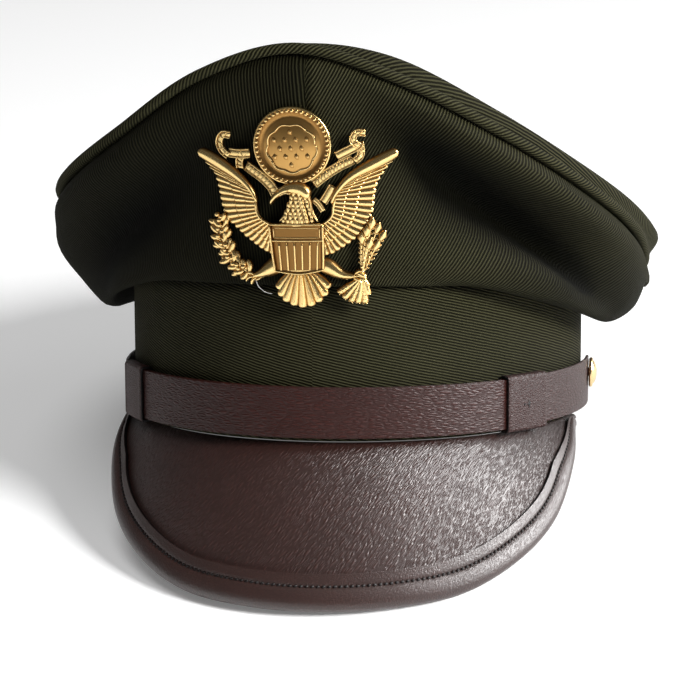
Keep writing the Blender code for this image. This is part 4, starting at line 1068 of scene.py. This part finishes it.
# %% Wings
LEFT_BAR = [(-33.4, 25.0), (-28.7, 22.8), (-24.4, 20.3), (-20.2, 17.4), (-16.7, 14.4), (-14.2, 11.2),
            (-12.6, 7.4)]
LEFT_INNER = [(-30.5, 22.2), (-24.4, 18.8), (-20.8, 16.8), (-16.2, 13.0), (-13.6, 9.7), (-13.2, 6.1),
              (-12.8, 3.1), (-11.2, 1.1), (-8.6, -0.1), (-8.2, -5.0)]
LEFT_OUTER = [(-32.0, 22.0), (-30.5, 20.1), (-27.9, 17.1), (-27.0, 13.6), (-26.5, 10.5), (-26.1, 7.5),
              (-25.3, 3.9), (-23.6, 0.8), (-21.2, -1.4), (-18.5, -4.1), (-15.4, -6.6), (-12.4, -8.9),
              (-8.8, -10.7), (-7.8, -11.2)]
RIGHT_BAR = [(36.0, 23.3), (30.7, 20.9), (26.3, 18.9), (22.2, 17.0), (18.7, 14.8), (15.8, 11.9), (13.8, 9.2),
             (12.7, 6.4)]
RIGHT_INNER = [(33.0, 20.6), (27.0, 17.6), (22.2, 15.9), (17.6, 12.9), (14.7, 9.5), (13.4, 6.2),
               (13.2, 3.7), (12.0, 1.2), (9.4, -0.4), (9.2, -5.0)]
RIGHT_OUTER = [(34.6, 20.6), (32.4, 18.6), (30.5, 16.0), (28.7, 13.3), (27.7, 10.0), (27.1, 6.5), (26.3, 2.5),
               (24.7, -0.5), (22.6, -3.4), (20.0, -6.1), (16.9, -8.2), (13.8, -10.0), (11.3, -11.2),
               (8.8, -11.4)]
# root share, tip share, base, height
TIERS = ((0.42, 1.02, 1.0, 0.9), (0.14, 0.62, 1.5, 0.9), (-0.04, 0.30, 1.9, 0.9))
FEATHERS, ROOTS_FROM = 19, 0.40


def feather_spacing(line, share, step):
    return point_at(line, share + step) - point_at(line, share - step)


def cast_wing(bm, bar, inner, outer):
    web = [point_at(outer, 0.5 - 0.5 * math.cos(math.pi * i / 20)) * 0.985 + point_at(inner, 0.5) * 0.015
           for i in range(21)]
    cast_plate(bm, inner, web, 1.0, 0.9)
    for start, end, base, height in TIERS:
        for i in range(FEATHERS):
            share, step = (i + 0.5) / FEATHERS, 0.5 / FEATHERS
            root_share = ROOTS_FROM + (1 - ROOTS_FROM) * share
            root, tip = point_at(inner, root_share), point_at(outer, share)
            _, normal = heading(root, tip)
            reach = tip - root
            wide = abs(feather_spacing(outer, share, step) @ normal) * 0.60
            narrow = abs(feather_spacing(inner, root_share, (1 - ROOTS_FROM) * step) @ normal) * 0.62
            at_start = narrow + (wide - narrow) * max(start, 0)
            at_end = narrow + (wide - narrow) * end
            path = [root + reach * share_out for share_out in (start, (start + end) / 2, end)]
            half = [at_start, (at_start + at_end) / 2, at_end * 0.95]
            cast_strip(bm, path, half, height, base + 0.10 * (i % 2), steps=8, blunt=0.13)
    cast_strip(bm, bar, [1.7, 2.1, 2.1, 1.7, 1.3, 1.0, 0.5], 1.7, 1.9, steps=26, blunt=0.06)
    rim = [point_at(inner, share) for share in (0.60, 0.68, 0.76, 0.83, 0.885)]
    cast_strip(bm, rim, 0.55, 0.8, 2.2, steps=14, blunt=0.1)


# %% [markdown]
# The disc is turned, so its profile is spun round its middle.  Its rim carries a ring of beads, and
# inside it stand a lobed cloud line and thirteen small stars.

# %% Disc
DISC = (0.4, 26.7)
DISC_PROFILE = [(0, 2.0), (9.3, 2.0), (9.9, 1.6), (10.9, 1.7), (11.3, 2.3), (11.8, 2.2), (12.6, 2.2),
                (13.0, 2.4), (13.4, 1.9), (13.5, 1.1), (13.2, 0.4), (0, 0.4)]
BEADS, BEAD_RING, LOBES = 46, 12.1, 9
CLOUD, CLOUD_HALF = (DISC[0] - 0.1, DISC[1] - 0.9), (8.0, 7.7)
# share of a lobe, and how far it swells there
LOBE_SWELL = ((-0.06, 0), (0.25, 0.55), (0.5, 0.8), (0.75, 0.55), (1.06, 0))
# height, number of stars
STAR_ROWS = ((5.8, 1), (3.1, 4), (0.1, 3), (-2.7, 4), (-5.6, 1))
STAR_SPACING = 3.75


# Painted shade of the disc's gilt at each radius: darker in its groove and round its beads, brightest on the
# rim.
def disc_crest(radius):
    return 0.55 if radius < 9.5 else 0.30 if radius < 11 else 0.95 if radius > 12.9 else 0.2


def cast_star(bm, x, y):
    """Five points round a raised middle."""
    layer = bm.verts.layers.float["crest"]
    ring = bmesh.ops.create_circle(bm, cap_ends=True, cap_tris=True, segments=10, radius=1.05)["verts"]
    for vertex in ring:
        in_middle = math.hypot(vertex.co.x, vertex.co.y) < 0.1
        turn = math.atan2(vertex.co.y, vertex.co.x)
        at_point = round(turn / math.radians(36)) % 2 == 0
        reach = 0 if in_middle else 1.15 if at_point else 0.5
        turn += math.radians(18)
        vertex.co = (x + reach * math.cos(turn), y + reach * math.sin(turn), 2.75 if in_middle else 1.98)
        # Painted shade: a star's middle is bright and its points darker.
        vertex[layer] = 1.0 if in_middle else 0.15


def cast_disc(bm):
    layer = bm.verts.layers.float["crest"]
    x0, y0 = DISC
    disc = spin_profile(bm, DISC_PROFILE, DISC, 1, 64)
    for vertex in disc:
        vertex[layer] = disc_crest(math.hypot(vertex.co.x - x0, vertex.co.y - y0))
    bmesh.ops.remove_doubles(bm, verts=disc, dist=MERGE)
    for i in range(BEADS):
        turn = 2 * math.pi * i / BEADS
        cast_bead(bm, x0 + BEAD_RING * math.cos(turn), y0 + BEAD_RING * math.sin(turn), 2.3, 0.72, 0.8)
    for i in range(LOBES):
        lobe = []
        for share, swell in LOBE_SWELL:
            turn = math.radians(90 + 360 / LOBES * (i + share))
            lobe.append((CLOUD[0] + (CLOUD_HALF[0] + swell) * math.cos(turn),
                         CLOUD[1] + (CLOUD_HALF[1] + swell) * math.sin(turn)))
        cast_strip(bm, lobe, 0.36, 0.55, 1.95, steps=8, blunt=0.1)
    for up, count in STAR_ROWS:
        for i in range(count):
            cast_star(bm, CLOUD[0] + (i - (count - 1) / 2) * STAR_SPACING, CLOUD[1] + up)


# %% [markdown]
# The ribbon behind the eagle is a low strip with a raised hem on both sides, and its folds are
# separate lengths that lie over each other.  Most lengths carry slanting ribs.

# %% Ribbons
def cast_ribbon(bm, path, half, base, ribs=0):
    centre, _ = spaced(path, 17)
    ahead = np.gradient(centre, axis=0)
    side = left_of(ahead / np.linalg.norm(ahead, axis=1)[:, None])
    cast_strip(bm, path, half, 0.45, base, steps=16, blunt=0.06)
    for way in (-1, 1):
        cast_strip(bm, centre + side * way * (half - 0.22), 0.3, 0.55, base + 0.35, steps=16, blunt=0.05)
    for i in range(ribs):
        share = (i + 0.7) / (ribs + 0.4)
        middle = point_at(path, share)
        along, across = heading(point_at(path, share - 0.02), point_at(path, share + 0.02))
        slant = across * (half - 0.2) + along * 0.5
        cast_strip(bm, [middle - slant, middle, middle + slant], 0.26, 0.5, base + 0.5, steps=5, blunt=0.2)


# path, half width, base, number of ribs
RIBBONS = (
    ([(-6.2, 9.6), (-7.6, 12.6), (-10.2, 15.4), (-13.4, 17.9), (-16.6, 20.2)], 1.7, 0.7, 9),
    ([(-18.4, 19.0), (-18.4, 22.0), (-16.6, 24.6)], 1.3, 1.2, 4),
    ([(-14.4, 24.4), (-18.2, 24.2), (-22.0, 24.6)], 1.6, 1.6, 0),
    ([(-22.0, 23.4), (-24.4, 25.6), (-25.2, 28.4), (-23.6, 30.9), (-21.0, 30.6)], 1.25, 1.9, 5),
    ([(6.8, 13.1), (10.4, 15.8), (13.9, 18.0), (17.2, 19.7), (20.9, 21.2)], 1.7, 0.7, 12),
    ([(21.2, 20.6), (23.2, 22.4), (23.6, 25.0), (23.2, 27.2)], 1.3, 1.2, 4),
    ([(15.2, 22.6), (18.2, 24.0), (21.2, 25.4), (23.4, 26.8)], 1.6, 1.6, 0),
    ([(23.0, 25.8), (21.0, 28.0), (22.2, 30.4), (25.4, 30.2)], 1.2, 1.9, 4),
    ([(13.6, 12.4), (11.6, 9.4), (9.8, 6.8)], 1.5, 1.0, 0),
    ([(6.6, 8.2), (8.4, 6.4), (9.8, 3.9)], 1.0, 1.4, 0))


def cast_scroll(bm):
    for ribbon in RIBBONS:
        cast_ribbon(bm, *ribbon)


# %% [markdown]
# The eagle's neck and breast are covered with small feathers, laid row over row from the shield up,
# and its head turns to the wearer's right with a hooked beak.

# %% Head and breast
NECK = [(1.0, -2.0), (0.9, 3.0), (1.6, 7.0), (2.0, 11.6)]
HEAD = [(5.4, 8.6), (3.6, 11.2), (0.4, 12.3), (-2.8, 11.6), (-5.4, 10.2), (-7.2, 8.2), (-7.7, 6.6)]
BROW = [(5.9, 7.4), (4.8, 10.4), (1.8, 13.3), (-2.0, 13.2), (-4.8, 11.9)]
NECK_EDGES = ([(-1.6, 11.4), (-0.3, 8.6), (-1.4, 5.4), (-5.4, 0.6)],
              [(5.6, 9.8), (5.9, 6.0), (6.6, 3.2), (8.0, 0.4)])


def cast_head(bm):
    cast_strip(bm, NECK, [6.6, 6.4, 4.6, 3.4, 3.2, 2.9], 2.6, 1.2, steps=18)
    cast_strip(bm, HEAD, [1.6, 2.3, 2.5, 2.0, 1.35, 1.0, 0.3], 2.6, 2.0, steps=24, blunt=0.12)
    cast_strip(bm, BROW, 0.5, 0.7, 3.2, steps=16)
    cast_strip(bm, [(-0.4, 10.6), (-2.4, 11.0), (-4.4, 10.0)], 0.38, 0.5, 4.2, steps=6)
    cast_bead(bm, -1.4, 11.9, 4.3, 0.55, 0.9)
    for line in NECK_EDGES:
        cast_strip(bm, line, 0.45, 0.9, 2.6, steps=14)
    for row in range(8):
        up = 0.9 + row * 1.35
        wide = 5.6 - 0.42 * row
        count = max(round(wide * 1.25), 3)
        for i in range(count):
            x = 1.1 + 0.12 * row + (i - (count - 1) / 2) * 2 * wide / count + 0.3 * (row % 2)
            share = min(abs(x - 1.1 - 0.12 * row) / (wide + 1.2), 1)
            base = 1.4 + 2.3 * math.sqrt(1 - share**2)
            feather = [(x, up + 1.5), (x, up + 0.3), (x * 1.03, up - 0.9)]
            cast_strip(bm, feather, [0.5, 0.75, 0.62], 0.55, base, steps=5, blunt=0.25)


# %% [markdown]
# The shield has a plain chief above and raised pales below, inside a narrow border.

# %% Shield
SHIELD_LEFT = [(-8.6, 0.1), (-8.3, -6.0), (-7.9, -12.0), (-7.5, -16.2)]
SHIELD_RIGHT = [(9.5, -0.2), (9.3, -6.0), (9.1, -12.0), (8.8, -16.1)]
PALES = 6
SHIELD_FOOT = [(-7.5, -16.2), (-3.5, -16.9), (0.7, -17.4), (4.8, -16.9), (8.8, -16.1)]


SHIELD_BORDER = (SHIELD_LEFT, SHIELD_RIGHT, SHIELD_FOOT, [(-8.7, 0.0), (0.4, -0.1), (9.6, -0.3)],
                 [(-8.2, -5.6), (0.4, -5.8), (9.3, -5.9)])
CHIEF_LINES = ([(-7.3, -1.2), (0.4, -1.4), (8.4, -1.6)], [(-7.2, -4.6), (0.4, -4.8), (8.3, -4.9)],
               [(-7.3, -1.2), (-7.2, -4.6)], [(8.4, -1.6), (8.3, -4.9)])


def cast_shield(bm):
    cast_plate(bm, SHIELD_LEFT, SHIELD_RIGHT, 3.5, 3.0, 0.25, (12, 8))
    foot = [(-7.4, -15.2), (0.7, -15.4), (8.7, -15.1)]
    cast_strip(bm, foot, [1.2, 1.9, 1.2], 0.35, 3.15, steps=12, blunt=0.04)
    for path in SHIELD_BORDER:
        cast_strip(bm, path, 0.42, 0.75, 3.5, steps=12, blunt=0.03)
    for path in CHIEF_LINES:
        cast_strip(bm, path, 0.2, 0.3, 3.5, steps=8, blunt=0.03)
    for i in range(PALES):
        top, foot = -5.6 + i * 2.63, -5.3 + i * 2.42
        pale = [(top, -6.1), ((top + foot) / 2, -11.0), (foot, -16.4)]
        cast_strip(bm, pale, 0.40, 0.75, 3.45, steps=8, blunt=0.03)


# %% [markdown]
# The tail is a fan of nine rounded ribs.  The legs swell at the thigh and carry rows of feathers, and
# three claws close round what each foot holds.

# %% Tail, legs and claws
TAIL_TIPS = [(-7.6, -23.2), (-6.9, -25.8), (-5.0, -27.8), (-2.2, -29.2), (0.9, -29.9), (4.0, -29.5),
             (6.8, -28.1), (9.1, -25.9), (10.3, -23.2)]
LEGS = (([(-5.6, -13.6), (-9.6, -15.8), (-13.0, -17.5), (-16.6, -18.7)], [2.8, 3.1, 2.5, 1.5, 0.9]),
        ([(7.0, -13.8), (11.2, -16.2), (14.8, -18.5), (20.0, -19.2)], [2.8, 2.9, 2.2, 1.4, 0.9]))
CLAWS = [[(-15.4, -18.0), (-17.2, -17.2), (-19.0, -18.2)], [(-15.4, -18.6), (-17.6, -19.0), (-18.6, -20.6)],
         [(-14.9, -18.9), (-16.4, -20.2), (-16.6, -21.6)], [(19.0, -18.6), (20.6, -17.3), (22.6, -17.8)],
         [(19.0, -19.2), (21.4, -19.0), (23.2, -20.2)], [(18.6, -19.6), (20.4, -20.6), (21.8, -22.0)]]


def cast_tail(bm):
    for i in (0, 8, 1, 7, 2, 6, 3, 5, 4):
        x, y = TAIL_TIPS[i]
        root = (1.1 + (i - 4) * 0.75, -16.2)
        base = 0.9 + 0.16 * (4 - abs(i - 4))
        rib = [root, (root[0] * 0.45 + x * 0.55, root[1] * 0.5 + y * 0.5), (x, y)]
        cast_strip(bm, rib, [0.7, 1.1, 1.55, 1.75], 1.4, base, steps=12, blunt=0.10)
        quill = [root, (x * 0.93 + 0.08, y * 0.955)]
        cast_strip(bm, quill, [0.16, 0.22, 0.2], 0.35, base + 1.35, steps=6, blunt=0.1)


def cast_legs(bm):
    for path, half in LEGS:
        cast_strip(bm, path, half, 2.2, 0.8, steps=16)
    for way, x0, y0 in ((-1, -8.0, -15.0), (1, 9.6, -15.2)):
        for row in range(4):
            for i in range(3 - (row > 2)):
                x, y = x0 + way * row * 1.8, y0 - row * 1.0 + (i - 1) * 1.1
                feather = [(x, y), (x + way * 1.0, y - 0.5), (x + way * 1.9, y - 0.9)]
                base = 2.35 - 0.22 * row - 0.25 * abs(i - 1)
                cast_strip(bm, feather, [0.35, 0.5, 0.35], 0.5, base, steps=5)
    for path in CLAWS:
        cast_strip(bm, path, [0.55, 0.7, 0.4], 1.3, 1.5, steps=8)


# %% [markdown]
# One foot holds an olive branch and the other a sheaf of arrows, which are many small leaves, berries,
# heads and flights along a few paths.

# %% Branch and arrows
STEM = [(-15.7, -18.3), (-19.3, -16.3), (-22.9, -13.4), (-25.2, -9.3), (-26.7, -4.9), (-27.0, 1.0)]
ARROW_TIPS = [(22.4, -3.6), (24.4, -1.2), (26.4, 1.4), (28.6, -0.6), (30.4, -3.4), (25.4, -5.6), (28.2, -6.6)]
FLIGHTS = [(13.2, -25.0), (15.0, -27.0), (17.3, -28.4), (19.8, -28.9), (22.2, -29.2), (23.4, -26.2),
           (23.2, -23.4)]
GRIP = np.array((21.6, -18.9))
LEAVES, LEAF_TURNS = 36, (38, -52, 74, -30)


def cast_branch(bm):
    cast_strip(bm, STEM, [0.6, 0.5, 0.35], 0.9, 1.0, steps=20)
    for i in range(LEAVES):
        share = 0.05 + 0.93 * i / (LEAVES - 1)
        root = point_at(STEM, share)
        ahead = point_at(STEM, share + 0.03) - point_at(STEM, share - 0.03)
        off_stem = math.radians(LEAF_TURNS[i % 4] + 6 * math.sin(5.0 * i))
        turn = off_stem + math.atan2(ahead[1], ahead[0])
        length = 4.3 + 0.7 * math.sin(2.3 * i)
        way = np.array((math.cos(turn), math.sin(turn)))
        bend = np.array((-way[1], way[0])) * 0.4 * (-1) ** i
        base = 1.0 + 0.35 * (i % 3)
        leaf = [root, root + way * length * 0.55 + bend, root + way * length]
        cast_strip(bm, leaf, [0.5, 1.1, 1.15, 0.6], 1.0, base, steps=8, blunt=0.16)
        cast_strip(bm, leaf, 0.14, 0.3, base + 0.82, steps=5, blunt=0.1)
        if i % 2:
            berry = root + way * (length * 0.5) - bend * 4.5
            cast_bead(bm, berry[0], berry[1], base + 0.9, 1.0)


def cast_arrow(bm, tip, base):
    ahead, side = heading(GRIP, tip)
    shaft = [GRIP, (GRIP + tip) / 2 + side * 0.3, tip - ahead * 2]
    cast_strip(bm, shaft, [0.55, 0.6, 0.75], 1.1, base, steps=10)
    head = [tip - ahead * 4.4, tip - ahead * 2.6, tip]
    cast_strip(bm, head, [0.5, 1.65, 0.2], 1.2, base + 0.6, steps=8, blunt=0.08)
    for barb in range(5):
        back = tip - ahead * (4.6 + 1.7 * barb)
        for way in (-1, 1):
            path = [back, back + side * way * 0.6 + ahead * 0.3, back + side * way * 1.25 + ahead * 0.9]
            cast_strip(bm, path, 0.28, 0.5, base + 0.7, steps=4)


def cast_flight(bm, tip, base):
    start = GRIP + (0.2, -0.6)
    vane = [start, (start + tip) / 2, tip]
    cast_strip(bm, vane, [0.5, 0.9, 1.25, 1.35], 1.1, base, steps=9, blunt=0.06)
    ahead, side = heading(start, tip)
    for barb in range(4):
        back = tip - ahead * (0.6 + 1.3 * barb)
        for way in (-1, 1):
            cast_strip(bm, [back, back + side * way * 0.9 + ahead * 0.5], 0.2, 0.45, 1.75, steps=4)


def cast_arrows(bm):
    for i, tip in enumerate(ARROW_TIPS):
        cast_arrow(bm, np.array(tip), 1.0 + 0.3 * (i % 3))
    for i, tip in enumerate(FLIGHTS):
        cast_flight(bm, np.array(tip), 1.0 + 0.2 * (i % 2))
    cast_strip(bm, [GRIP + (-1.6, 1.1), GRIP, GRIP + (1.6, -0.6)], 1.0, 1.9, 1.0, steps=8)


# %% [markdown]
# All of it is made flat, in millimetres, then bent to follow the crown and set upright on its front.
# A real badge is held by a threaded post with a ring nut behind the cloth, so the post comes too.

# %% The whole badge
BADGE_FRAME = Matrix(((1, 0, 0, -0.0007), (0, -0.106297, -0.994334, -0.112917),
                      (0, 0.994334, -0.106297, 0.081119), (0, 0, 0, 1)))
BADGE_LEAN, BADGE_BEND = math.radians(1.8), 115 * MM
POST_RADIUS, POST_LENGTH, POST_MIDDLE = 1.5, 9.7, (0, -3, -4.15)


def on_crown_front(point):
    """Where a point of the flat badge comes to lie on the level cap."""
    leant = Matrix.Rotation(BADGE_LEAN, 3, "Z") @ (Vector(point) * MM)
    turn, radius = leant.x / BADGE_BEND, BADGE_BEND + leant.z
    return BADGE_FRAME @ Vector((radius * math.sin(turn), leant.y, radius * math.cos(turn) - BADGE_BEND))


def set_on_crown(name, bm):
    bmesh.ops.recalc_face_normals(bm, faces=bm.faces)
    for vertex in bm.verts:
        vertex.co = REST @ on_crown_front(vertex.co)
    return as_piece(name, bm)


def make_badge():
    bm = bmesh.new()
    layer = bm.verts.layers.float.new("crest")
    cast_scroll(bm)
    cast_wing(bm, LEFT_BAR, LEFT_INNER, LEFT_OUTER)
    cast_wing(bm, RIGHT_BAR, RIGHT_INNER, RIGHT_OUTER)
    for cast in (cast_disc, cast_tail, cast_legs, cast_branch, cast_arrows, cast_head, cast_shield):
        cast(bm)
    post = bmesh.ops.create_cone(bm, cap_ends=True, segments=24, radius1=POST_RADIUS, radius2=POST_RADIUS,
                                 depth=POST_LENGTH, matrix=Matrix.Translation(POST_MIDDLE))["verts"]
    for vertex in post:
        vertex[layer] = 0.5
    return set_on_crown("eagle_badge", bm)


stand_for(make_badge(), "badge", badge_gilt)

# %% [markdown]
# A short bright end of wire shows under the branch.  It is one more strip, in steel.

# %% Wire end
WIRE = [(-15.6, -19.6), (-14.4, -22.4), (-12.4, -24.1), (-9.8, -24.9)]


def make_wire():
    bm = bmesh.new()
    bm.verts.layers.float.new("crest")
    cast_strip(bm, WIRE, 0.28, 0.4, 0.9, steps=16, blunt=0.04)
    return set_on_crown("badge_wire", bm)


wire = make_wire()
wire.data.materials.append(steel)
print("wire faces:", len(wire.data.polygons))

# %% [markdown]
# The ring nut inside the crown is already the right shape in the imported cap, so it only gets its
# finish.

# %% Ring nut
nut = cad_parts["badge_nut"].data
nut.materials.clear()
nut.materials.append(gilt)
print("nut faces:", len(nut.polygons))
